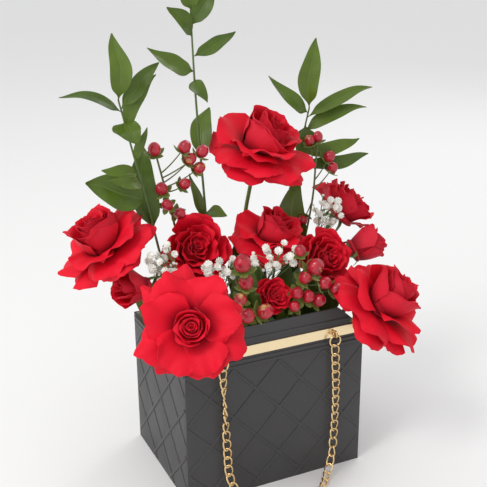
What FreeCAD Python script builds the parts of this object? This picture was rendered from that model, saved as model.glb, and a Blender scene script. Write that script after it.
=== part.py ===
import FreeCAD, Part
import math
import os

# Flower box: a card box shaped like a small handbag, with pressed quilting, a gold bar and a chain
# handle, holding a lift-out tray of floral foam with roses, foliage, berries and gypsophila.
# Millimetres. Origin: middle of the underside. +X runs right along the front, +Y to the back, +Z up.

V = FreeCAD.Vector

# ---- driving dimensions -------------------------------------------------------------------------
WIDTH = 200.0                 # box, left to right
DEPTH = 150.0                 # box, front to back
WALL_HEIGHT = 155.0           # back wall and the corners of the side walls
BOARD = 1.8                   # thickness of the card
RIM_HEIGHT = 186.0            # top of the raised front rim
RIM_SHOULDER = 168.0          # front corners, beside the raised rim
RIM_HALF_TOP = 70.0           # half the length of the rim's top edge
RIM_HALF_FOOT = 90.0          # half the length of the rim where it starts to rise
RIM_RIDGE_HEIGHT = 172.3      # raised line across the rim
RIM_RIDGE_HALF = 83.0         # half its length, just short of the rim's sloped ends
SIDE_DIP = 6.4                # how far the top of a side wall drops between its corners
SIDE_DIP_RUN = 16.0           # length of the slope at each end of the dip

QUILT_PITCH_X = 51.0          # diamonds of the pressed quilting, corner to corner
QUILT_PITCH_Z = 53.6
QUILT_NODE_X = 2.0            # one corner of a diamond
QUILT_NODE_Z = 88.5
QUILT_TOP = 143.0             # the quilting ends under the border lines
BORDER_HEIGHTS = (145.0, 150.0)
BAND_WIDTH = 3.2              # raised lines of the pressed card
BAND_TOP = 1.8                # width of a band along its top
BAND_HEIGHT = 0.8
BAND_SINK = 0.3               # how deep a band reaches into the card, so that both are one solid
QUILT_FAMILY = 8              # diagonals on each side of the node, more than enough for every wall
QUILT_OVERRUN = 4.0           # how far the diagonals are drawn past a wall before they are trimmed
SHORTEST_BAND = 3.0           # a diagonal that keeps less than this across the wall is left out

BAR_LENGTH = 194.0            # gold bar across the front
BAR_HEIGHT = 10.5
BAR_THICK = 1.2
BAR_FOOT = 154.9
BAR_CORNER = 1.5              # radius of its corners

EYE_X = 63.0                  # chain eyes, left and right of the middle
EYE_Y = -81.0                 # middle of the eye's loop
EYE_Z = 160.2
EYE_RADIUS = 3.3              # middle line of the eye's loop
EYE_WIRE = 0.9                # radius of its wire
STUD_RADIUS = 1.5
STUD_END = 0.8                # how far the stud stands out of its nut
COLLAR_RADIUS = 2.6           # collar between the loop and the bar
NUT_RADIUS = 3.6
NUT_THICK = 2.4
RING_RADIUS = 6.1             # jump ring, middle line
RING_WIRE = 0.9
RING_SLACK = 0.15             # clearance between the ring's wire and the eye's
CHAIN_DIAMETER = 9.0
BEND_SHARE = 0.45             # share of the shorter run that a bend of the chain takes up

TRAY_GAP = 6.0                # between the tray's rim and the card walls
TRAY_WALL = 1.2
TRAY_TOP = 138.0
TRAY_DRAFT = 5.0              # how far each tray wall leans in at its foot
TRAY_RIM = 3.0                # width of the tray's flat rim
TRAY_CORNER = 12.0            # outer radius of the tray's corners
FOAM_GAP = 11.0               # watering gap between the foam and the tray
FOAM_TOP = 146.0
FOAM_CHAMFER = 6.0
STEM_FOOT = 112.0             # how low the stems reach into the foam

# ---- roses: middle of the open face, direction it looks, radius, shape, knee and foot of the stem --
OPEN = ((0.0, -0.56), (0.13, -0.52), (0.30, -0.34), (0.74, -0.24), (0.97, -0.12), (1.0, 0.0),
        (0.82, 0.15), (0.45, 0.30), (0.0, 0.36))
SKIRT = ((0.0, -0.56), (0.13, -0.52), (0.30, -0.34), (0.74, -0.24), (0.97, -0.12), (1.0, 0.0),
         (0.90, 0.08), (0.46, 0.12), (0.42, 0.50), (0.25, 0.62), (0.0, 0.64))
HALF = ((0.0, -1.0), (0.16, -0.96), (0.55, -0.72), (0.90, -0.30), (1.0, 0.0), (0.86, 0.30),
        (0.50, 0.46), (0.0, 0.50))
BUD = ((0.0, -1.25), (0.25, -1.2), (0.80, -0.75), (1.0, -0.1), (0.84, 0.65), (0.45, 1.05), (0.0, 1.15))
STEM_RADIUS = 2.4
STEM_SINK = 1.5               # how far a stem reaches above the lowest point of its bloom

ROSES = {
    "front_left": ((-106, -112, 216), (-0.35, -0.84, 0.40), 50, OPEN, (-80, -56, 199), (-62, -44)),
    "far_left": ((-155, -10, 272), (-0.50, -0.10, 0.86), 44, SKIRT, (-92, -6, 204), (-66, -12)),
    "left_bud": ((-138, -42, 233), (-0.94, -0.20, 0.28), 13, BUD, (-92, -34, 196), (-64, -28)),
    "top": ((20, 4, 346), (0.12, -0.32, 0.94), 50, SKIRT, (19, 42, 258), (10, 40)),
    "left_middle": ((-63, -22, 257), (-0.15, -0.80, 0.58), 28, HALF, (-52, 0, 205), (-40, 10)),
    "middle": ((26, -6, 252), (0.02, -0.38, 0.92), 38, SKIRT, (24, 6, 200), (20, 14)),
    "right_middle": ((77, -40, 229), (0.22, -0.84, 0.50), 26, HALF, (66, -22, 185), (48, -12)),
    "back_right": ((140, 22, 266), (0.66, -0.20, 0.72), 29, HALF, (98, 24, 214), (62, 28)),
    "right_bud": ((138, -18, 226), (0.90, -0.22, 0.38), 15, BUD, (96, -8, 192), (66, 4)),
    "front_right": ((111, -95, 193), (0.46, -0.50, 0.73), 50, SKIRT, (88, -60, 180), (62, -44)),
    "front_small": ((5, -62, 208), (0.10, -0.86, 0.50), 15, HALF, (4, -44, 180), (4, -34)),
}

# ---- foliage: points of the stem, then leaves as (place along the stem, tip, width) ----------------
LEAF_THICK = 0.8
LEAF_FACING = V(-0.35, -0.85, 0.55)    # the direction that every blade looks
LEAF_WIDEST = 0.48            # share of the way to its tip where a blade is widest
TWIG_RADIUS = 1.3
FOLIAGE = {
    "foliage_left": {
        "stem": ((-52, 14, STEM_FOOT), (-84, 4, 205), (-106, -6, 300), (-118, -8, 350), (-131, -10, 405)),
        "leaves": ((1.0, (-135, -14, 465), 18), (0.97, (-92, -12, 437), 14), (0.90, (-91, -4, 424), 15),
                   (0.96, (-184, -6, 412), 13), (0.93, (-122, -34, 368), 24), (0.80, (-104, -10, 377), 10),
                   (0.76, (-152, -14, 342), 12), (0.72, (-148, -24, 334), 13), (0.66, (-165, -4, 330), 30),
                   (0.55, (-98, 30, 352), 26)),
    },
    "foliage_middle": {
        "stem": ((-20, 30, STEM_FOOT), (-32, 27, 270), (-40, 26, 380), (-43, 25, 440), (-44, 25, 478)),
        "leaves": ((1.0, (-48, 24, 508), 17), (0.93, (-68, 24, 482), 15), (0.96, (-20, 22, 498), 16),
                   (0.84, (-91, 20, 446), 18), (0.88, (2, 24, 456), 14), (0.82, (-36, 6, 392), 16),
                   (0.60, (-14, 58, 376), 20), (0.44, (-20, 0, 276), 13), (0.42, (-52, 18, 320), 10)),
    },
    "foliage_right": {
        "stem": ((36, 32, STEM_FOOT), (64, 34, 262), (77, 30, 317), (88, 26, 372)),
        "leaves": ((1.0, (95, 24, 444), 20), (0.98, (42, 30, 408), 19), (0.96, (161, 20, 390), 15),
                   (0.90, (150, 12, 370), 16), (0.93, (80, 28, 318), 26), (0.82, (146, 18, 336), 14),
                   (0.76, (163, 24, 314), 14)),
    },
}

# ---- berry sprays: foot, fork, then berries as (place, radius) -------------------------------------
BERRY_TWIG = 0.9
BERRY_LEAD = 1.35             # radius of the leading twig
FORK_SHARE = 0.75             # share of the leading twig, past the fork, that side twigs start from
BERRIES = {
    "berries_back_left": ((-40, 14, STEM_FOOT), (-78, 9, 292),
                          (((-97, -6, 355), 5.6), ((-66, -6, 354), 5.4), ((-60, -5, 341), 5.2),
                           ((-47, -4, 347), 5.4), ((-51, -5, 331), 5.2), ((-67, -6, 317), 5.0),
                           ((-90, -2, 314), 5.6), ((-86, -6, 298), 5.2), ((-72, -2, 286), 5.4))),
    "berries_back_right": ((54, 14, STEM_FOOT), (88, 14, 276),
                           (((81, 12, 341), 4.8), ((91, 12, 344), 4.8), ((106, 12, 321), 5.4),
                            ((110, 12, 308), 5.2), ((74, 11, 254), 5.0))),
    "berries_front_left": ((-22, -36, STEM_FOOT), (-26, -52, 184),
                           (((-34, -66, 249), 7.6), ((-31, -68, 230), 6.4), ((-38, -70, 214), 5.6),
                            ((-32, -72, 196), 6.8), ((-12, -72, 197), 7.0))),
    "berries_front_right": ((28, -36, STEM_FOOT), (34, -54, 186),
                            (((20, -72, 196), 5.2), ((24, -70, 209), 5.6), ((37, -70, 203), 5.8),
                             ((49, -71, 197), 6.0), ((47, -66, 232), 7.4), ((35, -66, 222), 5.6),
                             ((56, -70, 214), 5.6), ((30, -64, 251), 5.0), ((67, -74, 207), 5.4))),
}

# ---- low leaves that hide the foam: foot, tip and width ---------------------------------------------
LOW_LEAF_STALK = 0.35         # share of the way from the foot to the tip that is bare stalk
LOW_LEAF_RIB = 0.6            # share of the way that the stalk reaches as a midrib
LOW_LEAVES = (((-58, 38), (-74, 58, 212), 26), ((-24, 42), (-28, 66, 222), 28), ((34, 42), (44, 66, 214), 28),
              ((62, 40), (88, 56, 206), 26), ((-68, 22), (-112, 34, 204), 26), ((69, 16), (112, 30, 196), 24),
              ((-12, -4), (-16, -14, 222), 24), ((40, -2), (50, -12, 214), 22), ((-38, -42), (-44, -58, 200), 20),
              ((18, -44), (12, -56, 192), 18))

# ---- gypsophila: foot, fork, middle of the cloud of florets, its half sizes and the florets --------
FLORET_RADIUS = 2.9
GYP_TWIG = 0.6
GYP_LEAD = 0.96
GYPSOPHILA = {
    "gypsophila_left": ((-56, -20, STEM_FOOT), (-84, -36, 215), (-108, -48, 254), (16, 11, 19), 10),
    "gypsophila_middle_left": ((-34, -18, STEM_FOOT), (-46, -40, 205), (-52, -56, 240), (26, 7, 10), 9),
    "gypsophila_middle": ((10, -16, STEM_FOOT), (6, -34, 205), (2, -52, 247), (22, 7, 12), 9),
    "gypsophila_right": ((50, 0, STEM_FOOT), (82, -4, 225), (95, -7, 268), (18, 9, 20), 10),
}
GOLDEN_TURN = math.pi * (3 - math.sqrt(5))

# ---- chain: from the left ring down to the floor, round in front of the box and up to the right ----
CHAIN_ROUTE = ((-63.0, -81.0, 147.0), (-61.5, -81.6, 117.0), (-60.3, -80.9, 84.0), (-59.2, -81.4, 52.0),
               (-58.6, -82.6, 30.0), (-55.5, -89.0, 14.5), (-47.5, -100.5, 5.8), (-34.0, -113.0, 4.7),
               (-16.0, -122.0, 4.7), (3.0, -125.0, 4.7), (21.0, -120.5, 4.7), (36.0, -110.0, 4.7),
               (47.0, -97.0, 5.4), (55.5, -88.5, 10.5), (61.5, -83.5, 22.0), (64.0, -81.8, 40.0),
               (65.6, -81.0, 75.0), (65.2, -81.6, 111.0), (63.0, -81.0, 147.0))


def unit(v):
    """The vector with a length of one."""
    return V(*v).normalize() if not isinstance(v, V) else V(v).normalize()


def frame_of(axis):
    """Two directions square to an axis."""
    axis = unit(axis)
    helper = V(0, 0, 1) if abs(axis.z) < 0.9 else V(1, 0, 0)
    side = helper.cross(axis).normalize()
    return side, axis.cross(side)


def box(x0, x1, y0, y1, z0, z1):
    """A block between two corners."""
    return Part.makeBox(x1 - x0, y1 - y0, z1 - z0, V(x0, y0, z0))


def rod(start, end, radius):
    """A straight round bar."""
    start, end = V(*start), V(*end)
    return Part.makeCylinder(radius, (end - start).Length, start, end - start)


def prism(points, direction):
    """A flat outline pushed along a direction."""
    return Part.Face(Part.makePolygon([V(*p) for p in points] + [V(*points[0])])).extrude(V(*direction))


def ball(centre, radius, axis=V(0, 0, 1)):
    """A sphere with its poles on an axis."""
    return Part.makeSphere(radius, V(*centre), axis)


def bent_rod(points, radius):
    """A round bar along straight runs, with a ball at each bend."""
    shapes = [rod(a, b, radius) for a, b in zip(points, points[1:])]
    shapes += [ball(p, radius) for p in points[1:-1]]
    return shapes[0].multiFuse(shapes[1:]).removeSplitter() if len(shapes) > 1 else shapes[0]


def along(points, t):
    """The point at a share t of a broken line's length."""
    points = [V(*p) for p in points]
    lengths = [(b - a).Length for a, b in zip(points, points[1:])]
    left = t * sum(lengths)
    for a, b, length in zip(points, points[1:], lengths):
        if left <= length:
            return a + (b - a) * (left / length)
        left -= length
    return points[-1]


# ---- card box ---------------------------------------------------------------------------------------
def band(start, end, out):
    """A raised line with sloped sides from start to end, on a face that looks along out."""
    start, end, out = V(*start), V(*end), V(*out)
    across = (end - start).cross(out).normalize()
    section = [start + across * (BAND_WIDTH / 2) - out * BAND_SINK, start - across * (BAND_WIDTH / 2) - out * BAND_SINK,
               start - across * (BAND_WIDTH / 2), start - across * (BAND_TOP / 2) + out * BAND_HEIGHT,
               start + across * (BAND_TOP / 2) + out * BAND_HEIGHT, start + across * (BAND_WIDTH / 2)]
    return prism([tuple(p) for p in section], tuple(end - start))


def quilt_lines(half, low, high):
    """Both families of diagonals over a face that runs from -half to half and from low to high."""
    slope = QUILT_PITCH_Z / QUILT_PITCH_X
    lines = []
    for sign in (1, -1):
        for k in range(-QUILT_FAMILY, QUILT_FAMILY + 1):
            x_node = QUILT_NODE_X + k * QUILT_PITCH_X
            ends = [(x, QUILT_NODE_Z + sign * slope * (x - x_node)) for x in (-half, half)]
            clipped = clip_line(ends, low, high)
            if clipped:
                lines.append(clipped)
    return lines


def clip_line(ends, low, high):
    """The part of a line between two heights, or None when too little of it is left."""
    (xa, za), (xb, zb) = ends
    if za > zb:
        (xa, za), (xb, zb) = (xb, zb), (xa, za)
    if zb <= low or za >= high:
        return None
    slope = (xb - xa) / (zb - za)
    if za < low:
        xa, za = xa + slope * (low - za), low
    if zb > high:
        xb, zb = xa + slope * (high - za), high
    return ((xa, za), (xb, zb)) if abs(xb - xa) > SHORTEST_BAND else None


def quilted(panel, place, half, out):
    """A panel with the raised lines of the quilting and the border on its outer face."""
    reach = half + QUILT_OVERRUN
    bands = [band(place(*a), place(*b), out) for a, b in quilt_lines(reach, -QUILT_OVERRUN, QUILT_TOP)]
    bands += [band(place(-reach, z), place(reach, z), out) for z in BORDER_HEIGHTS]
    edge = panel.BoundBox
    x, y = abs(out[0]), abs(out[1])
    limit = box(edge.XMin - x, edge.XMax + x, edge.YMin - y, edge.YMax + y, edge.ZMin, WALL_HEIGHT)
    lattice = bands[0].multiFuse(bands[1:]).common(limit)
    return panel.fuse(lattice).removeSplitter()


def front_panel():
    """Front wall with the raised rim in one piece, and the two holes for the chain studs."""
    y = -DEPTH / 2
    x = WIDTH / 2
    outline = [(-x, y, 0), (x, y, 0), (x, y, RIM_SHOULDER), (RIM_HALF_FOOT, y, RIM_SHOULDER),
               (RIM_HALF_TOP, y, RIM_HEIGHT), (-RIM_HALF_TOP, y, RIM_HEIGHT),
               (-RIM_HALF_FOOT, y, RIM_SHOULDER), (-x, y, RIM_SHOULDER)]
    panel = prism(outline, (0, BOARD, 0))
    panel = quilted(panel, lambda u, z: (u, y, z), x, (0, -1, 0))
    panel = panel.fuse(band((-RIM_RIDGE_HALF, y, RIM_RIDGE_HEIGHT), (RIM_RIDGE_HALF, y, RIM_RIDGE_HEIGHT), (0, -1, 0)))
    for side in (-1, 1):
        panel = panel.cut(rod((side * EYE_X, y - BOARD, EYE_Z), (side * EYE_X, y + 2 * BOARD, EYE_Z), STUD_RADIUS))
    return panel


def back_panel():
    """Back wall."""
    y = DEPTH / 2
    panel = box(-WIDTH / 2, WIDTH / 2, y - BOARD, y, 0, WALL_HEIGHT)
    return quilted(panel, lambda u, z: (u, y, z), WIDTH / 2, (0, 1, 0))


def side_panel(side):
    """Side wall between the front and back walls, with the dip in its top edge."""
    x = side * WIDTH / 2
    half = DEPTH / 2 - BOARD
    low = WALL_HEIGHT - SIDE_DIP
    outline = [(x, -half, 0), (x, half, 0), (x, half, WALL_HEIGHT), (x, half - SIDE_DIP_RUN, low),
               (x, -half + SIDE_DIP_RUN, low), (x, -half, WALL_HEIGHT)]
    panel = prism(outline, (-side * BOARD, 0, 0))
    return quilted(panel, lambda u, z: (x, u, z), half, (side, 0, 0))


def base_panel():
    """Floor of the box, inside the four walls."""
    x, y = WIDTH / 2 - BOARD, DEPTH / 2 - BOARD
    return box(-x, x, -y, y, 0, BOARD)


def gold_bar():
    """Flat metal bar across the front, with rounded corners and a hole for each stud."""
    y = -DEPTH / 2
    half = BAR_LENGTH / 2
    bar = box(-half, half, y - BAR_THICK, y, BAR_FOOT, BAR_FOOT + BAR_HEIGHT)
    corners = [e for e in bar.Edges if abs(e.tangentAt(e.FirstParameter).y) > 0.99]
    bar = bar.makeFillet(BAR_CORNER, corners)
    for side in (-1, 1):
        bar = bar.cut(rod((side * EYE_X, y - 2 * BAR_THICK, EYE_Z), (side * EYE_X, y + BAR_THICK, EYE_Z), STUD_RADIUS))
    return bar


# ---- chain hardware ---------------------------------------------------------------------------------
def eye_stud(side):
    """A stud through the bar and the card with a loop on its outer end."""
    x = side * EYE_X
    face = -DEPTH / 2 - BAR_THICK
    loop = Part.makeTorus(EYE_RADIUS, EYE_WIRE, V(x, EYE_Y, EYE_Z), V(1, 0, 0))
    collar = rod((x, face, EYE_Z), (x, EYE_Y + EYE_RADIUS, EYE_Z), COLLAR_RADIUS)
    shank = rod((x, face, EYE_Z), (x, -DEPTH / 2 + BOARD + NUT_THICK + STUD_END, EYE_Z), STUD_RADIUS)
    return loop.multiFuse([collar, shank]).removeSplitter()


def stud_nut(side):
    """Six-sided nut on the stud, inside the box."""
    x = side * EYE_X
    y = -DEPTH / 2 + BOARD
    points = []
    for k in range(6):
        angle = math.radians(60 * k)
        points.append((x + NUT_RADIUS * math.cos(angle), y, EYE_Z + NUT_RADIUS * math.sin(angle)))
    nut = prism(points, (0, NUT_THICK, 0))
    return nut.cut(rod((x, y - BOARD, EYE_Z), (x, y + 2 * NUT_THICK, EYE_Z), STUD_RADIUS))


def ring_top():
    """Height of the middle of the ring's wire where it hangs in the eye: the handle swings about it."""
    return EYE_Z - EYE_RADIUS + EYE_WIRE + RING_WIRE + RING_SLACK


def jump_ring(side):
    """Ring that hangs in the eye and takes the end of the chain."""
    centre = V(side * EYE_X, EYE_Y, ring_top() - RING_RADIUS)
    return Part.makeTorus(RING_RADIUS, RING_WIRE, centre, V(0, 1, 0))


def cord_tube(route, radius):
    """A tube along straight runs joined by tangent arcs, each as large as its two runs allow."""
    points = [V(*p) for p in route]
    edges = []
    at = points[0]
    radii = []
    for before, corner, after in zip(points, points[1:], points[2:]):
        back, ahead = (before - corner), (after - corner)
        turn = math.pi - back.getAngle(ahead)
        reach = BEND_SHARE * min(back.Length, ahead.Length)
        radii.append(reach / math.tan(turn / 2))
        back.normalize()
        ahead.normalize()
        start, end = corner + back * reach, corner + ahead * reach
        bisector = (back + ahead).normalize()
        to_centre = radii[-1] / math.cos(turn / 2)
        middle = corner + bisector * (to_centre - radii[-1])
        edges.append(Part.LineSegment(at, start).toShape())
        edges.append(Part.Arc(start, middle, end).toShape())
        at = end
    edges.append(Part.LineSegment(at, points[-1]).toShape())
    path = Part.Wire(edges)
    section = Part.Wire(Part.Circle(points[0], points[1] - points[0], radius).toShape())
    tube = path.makePipeShell([section], True, True)
    expected = math.pi * radius ** 2 * path.Length
    print("chain: length %.0f mm, volume %.0f of %.0f mm3" % (path.Length, tube.Volume, expected))
    print("chain: radii", [round(r) for r in radii])
    return tube


# ---- tray and foam ----------------------------------------------------------------------------------
def tapered_block(half_x, half_y, lean, low, high, radius):
    """A block with round corners, smaller at its foot."""
    wires = []
    for z, shrink in ((low, lean), (high, 0.0)):
        x, y = half_x - shrink, half_y - shrink
        outline = box(-x, x, -y, y, z, z + 1)
        upright = [e for e in outline.Edges if abs(e.tangentAt(e.FirstParameter).z) > 0.99]
        outline = outline.makeFillet(radius, upright)
        bottom = min(outline.Faces, key=lambda f: f.CenterOfMass.z)
        wires.append(bottom.OuterWire)
    return Part.makeLoft(wires, True, True)


def tray():
    """Waterproof tray with leaning walls and a flat rim."""
    half_x = WIDTH / 2 - BOARD - TRAY_GAP - TRAY_RIM
    half_y = DEPTH / 2 - BOARD - TRAY_GAP - TRAY_RIM
    low = BOARD
    outer = tapered_block(half_x, half_y, TRAY_DRAFT, low, TRAY_TOP, TRAY_CORNER)
    rim = tapered_block(half_x + TRAY_RIM, half_y + TRAY_RIM, 0.0, TRAY_TOP - TRAY_WALL, TRAY_TOP,
                        TRAY_CORNER + TRAY_RIM)
    inner = tapered_block(half_x - TRAY_WALL, half_y - TRAY_WALL, TRAY_DRAFT, low + TRAY_WALL,
                          TRAY_TOP + 0.01, TRAY_CORNER - TRAY_WALL)
    return outer.fuse(rim).cut(inner).removeSplitter()


def foam_block(stems):
    """Wet floral foam with chamfered top edges and a hole round every stem."""
    half_x = WIDTH / 2 - BOARD - TRAY_GAP - TRAY_RIM - TRAY_DRAFT - FOAM_GAP
    half_y = DEPTH / 2 - BOARD - TRAY_GAP - TRAY_RIM - TRAY_DRAFT - FOAM_GAP
    block = box(-half_x, half_x, -half_y, half_y, BOARD + TRAY_WALL, FOAM_TOP)
    top = [e for e in block.Edges if e.BoundBox.ZMin > FOAM_TOP - 0.1]
    return block.makeChamfer(FOAM_CHAMFER, top).cut(Part.makeCompound(stems))


# ---- plants -----------------------------------------------------------------------------------------
def rose_head(centre, axis, radius, outline):
    """A turned solid of the bloom's outer shape."""
    side, _ = frame_of(axis)
    centre, axis = V(*centre), unit(axis)
    points = [centre + side * (r * radius) + axis * (h * radius) for r, h in outline]
    face = Part.Face(Part.makePolygon(points + [points[0]]))
    return face.revolve(centre, axis, 360)


def rose_stem(centre, axis, radius, outline, knee, foot):
    """Stem from under the bloom, over its knee and down into the foam."""
    base = V(*centre) + unit(axis) * (outline[0][1] * radius + STEM_SINK)
    return bent_rod((tuple(base), knee, (foot[0], foot[1], STEM_FOOT)), STEM_RADIUS)


def leaf(base, tip, width):
    """A pointed leaf between two arcs, with its face turned up and to the front."""
    base, tip = V(*base), V(*tip)
    run = tip - base
    across = run.cross(LEAF_FACING).normalize() * (width / 2)
    middle = base + run * LEAF_WIDEST
    normal = run.cross(across).normalize()
    arcs = [Part.Arc(base, middle + across, tip).toShape(), Part.Arc(tip, middle - across, base).toShape()]
    blade = Part.Face(Part.Wire(arcs)).extrude(normal * LEAF_THICK)
    blade.translate(normal * (-LEAF_THICK / 2))
    return blade


def foliage(stem, leaves):
    """A branch with its leaves in one piece."""
    branch = bent_rod(stem, TWIG_RADIUS)
    return branch.multiFuse([leaf(along(stem, t), tip, width) for t, tip, width in leaves])


def spray(foot, fork, ends, lead_radius, twig_radius):
    """A leading twig to the highest of the ends, and a side twig to each other, with a ball on each end.

    Each ball has a pole on its twig, so that the twig's edge on it is a circle of latitude.
    """
    ends = sorted(ends, key=lambda end: end[0][2])
    tip, tip_radius = ends[-1]
    shapes = [bent_rod((foot, fork, tip), lead_radius), ball(tip, tip_radius, V(*tip) - V(*fork))]
    for k, (place, radius) in enumerate(ends[:-1]):
        start = along((fork, tip), FORK_SHARE * k / len(ends))
        shapes += [rod(tuple(start), place, twig_radius), ball(place, radius, V(*place) - start)]
    return shapes[0].multiFuse(shapes[1:])


def floret_places(middle, half, count):
    """Places spread evenly over an oval cloud."""
    places = []
    for k in range(count):
        height = 1 - 2 * (k + 0.5) / count
        reach = math.sqrt(1 - height ** 2)
        turn = GOLDEN_TURN * k
        places.append((middle[0] + half[0] * reach * math.cos(turn),
                       middle[1] + half[1] * reach * math.sin(turn),
                       middle[2] + half[2] * height))
    return places


def berries(foot, fork, ends):
    """A forked twig with a berry on each end."""
    return spray(foot, fork, ends, BERRY_LEAD, BERRY_TWIG)


def gypsophila(foot, fork, middle, half, count):
    """Fine twigs with a small white flower on each end."""
    ends = [(place, FLORET_RADIUS) for place in floret_places(middle, half, count)]
    return spray(foot, fork, ends, GYP_LEAD, GYP_TWIG)


def low_leaves():
    """Short leaves round the foot of the flowers, each on its own stalk."""
    leaves = []
    for foot, tip, width in LOW_LEAVES:
        start = (foot[0], foot[1], STEM_FOOT)
        neck, midrib = (tuple(along((start, tip), share)) for share in (LOW_LEAF_STALK, LOW_LEAF_RIB))
        leaves.append(rod(start, midrib, TWIG_RADIUS).fuse(leaf(neck, tip, width)))
    return Part.makeCompound(leaves)


# ---- every piece ------------------------------------------------------------------------------------
def all_nodes():
    """The pieces by name."""
    nodes = {
        "front_panel": front_panel(), "back_panel": back_panel(), "left_panel": side_panel(-1),
        "right_panel": side_panel(1), "base_panel": base_panel(), "gold_bar": gold_bar(),
        "chain": cord_tube(CHAIN_ROUTE, CHAIN_DIAMETER / 2), "water_tray": tray(),
    }
    for side, name in ((-1, "left"), (1, "right")):
        nodes["eye_stud_" + name] = eye_stud(side)
        nodes["stud_nut_" + name] = stud_nut(side)
        nodes["jump_ring_" + name] = jump_ring(side)
    stems = {}
    for name, (centre, axis, radius, outline, knee, foot) in ROSES.items():
        head = rose_head(centre, axis, radius, outline)
        nodes["rose_" + name] = head
        stem = rose_stem(centre, axis, radius, outline, knee, foot)
        stems["stem_" + name] = stem.cut(head)
    for name, data in FOLIAGE.items():
        stems[name] = foliage(data["stem"], data["leaves"])
    for name, data in BERRIES.items():
        stems[name] = berries(*data)
    for name, data in GYPSOPHILA.items():
        stems[name] = gypsophila(*data)
    stems["low_leaves"] = low_leaves()
    nodes["foam_block"] = foam_block(list(stems.values()))
    nodes.update(stems)
    return nodes


os.makedirs("parts", exist_ok=True)
for node, shape in all_nodes().items():
    shape.exportStep("parts/%s.step" % node)
    print("%-26s %2d solid  %9.0f mm3  valid %s" % (node, len(shape.Solids), shape.Volume, shape.isValid()))
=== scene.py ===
import math
import random

import bpy
import numpy as np
from mathutils import Matrix, Vector


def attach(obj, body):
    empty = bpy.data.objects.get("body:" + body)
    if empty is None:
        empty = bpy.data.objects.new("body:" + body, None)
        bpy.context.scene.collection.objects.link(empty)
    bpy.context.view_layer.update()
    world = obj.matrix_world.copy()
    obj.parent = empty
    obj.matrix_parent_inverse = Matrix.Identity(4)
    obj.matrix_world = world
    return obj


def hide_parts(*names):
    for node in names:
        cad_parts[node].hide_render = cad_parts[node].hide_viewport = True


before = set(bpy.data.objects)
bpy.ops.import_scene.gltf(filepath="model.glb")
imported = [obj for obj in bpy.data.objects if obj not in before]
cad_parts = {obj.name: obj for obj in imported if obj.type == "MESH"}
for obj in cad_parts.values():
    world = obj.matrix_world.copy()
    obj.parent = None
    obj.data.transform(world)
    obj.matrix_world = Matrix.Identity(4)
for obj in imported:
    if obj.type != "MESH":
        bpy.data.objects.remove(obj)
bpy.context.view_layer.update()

bl_info = {
    "name": "Flower box",
    "version": (1, 0, 0),
    "blender": (4, 5, 0),
    "location": "View3D > Sidebar > Flower box",
    "description": "Makes a quilted card flower box with a chain handle, roses, foliage, "
                   "berries and gypsophila",
    "category": "Object",
}

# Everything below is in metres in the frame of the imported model. The tables are in millimetres in
# that same frame, and mm() turns them into metres.
MILLI = 0.001


def mm(*values):
    """A place in millimetres, as a vector in metres."""
    return Vector(values) * MILLI


# ---- plants ---------------------------------------------------------------------------------------
# Most places across and in height started from ray casting. Depths, widths and radii were chosen. The
# CAD has the same roses, branches, low leaves and berries, but no filler leaves, and smaller gypsophila
# with two of its clouds a few millimetres away.
# middle of the open face, direction it looks, radius, habit, knee and foot of the stem, turn
ROSES = {
    "front_left": ((-106, -112, 216), (-0.35, -0.84, 0.40), 50, "flat", (-80, -56, 199), (-62, -44), 10),
    "far_left": ((-155, -10, 272), (-0.50, -0.10, 0.86), 44, "skirt", (-92, -6, 204), (-66, -12), 40),
    "left_bud": ((-138, -42, 233), (-0.94, -0.20, 0.28), 13, "bud", (-92, -34, 196), (-64, -28), 0),
    "top": ((20, 4, 346), (0.12, -0.32, 0.94), 50, "skirt", (19, 42, 258), (10, 40), 20),
    "left_middle": ((-63, -22, 257), (-0.15, -0.80, 0.58), 28, "half", (-52, 0, 205), (-40, 10), 70),
    "middle": ((26, -6, 252), (0.02, -0.38, 0.92), 38, "skirt", (24, 6, 200), (20, 14), 100),
    "right_middle": ((77, -40, 229), (0.22, -0.84, 0.50), 26, "half", (66, -22, 185), (48, -12), 15),
    "back_right": ((140, 22, 266), (0.66, -0.20, 0.72), 29, "half", (98, 24, 214), (62, 28), 55),
    "right_bud": ((138, -18, 226), (0.90, -0.22, 0.38), 15, "bud", (96, -8, 192), (66, 4), 30),
    "front_right": ((111, -95, 193), (0.46, -0.50, 0.73), 50, "skirt", (88, -60, 180), (62, -44), 75),
    "front_small": ((5, -62, 208), (0.10, -0.86, 0.50), 15, "half", (4, -44, 180), (4, -34), 0),
}
# direction of the heart where it leans away from the rest of the bloom
HEARTS = {
    "far_left": (-0.42, 0.02, 0.91), "top": (0.42, -0.44, 0.79), "middle": (0.40, -0.36, 0.84),
    "front_right": (0.60, -0.30, 0.74), "left_middle": (-0.05, -0.86, 0.50),
}
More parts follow.
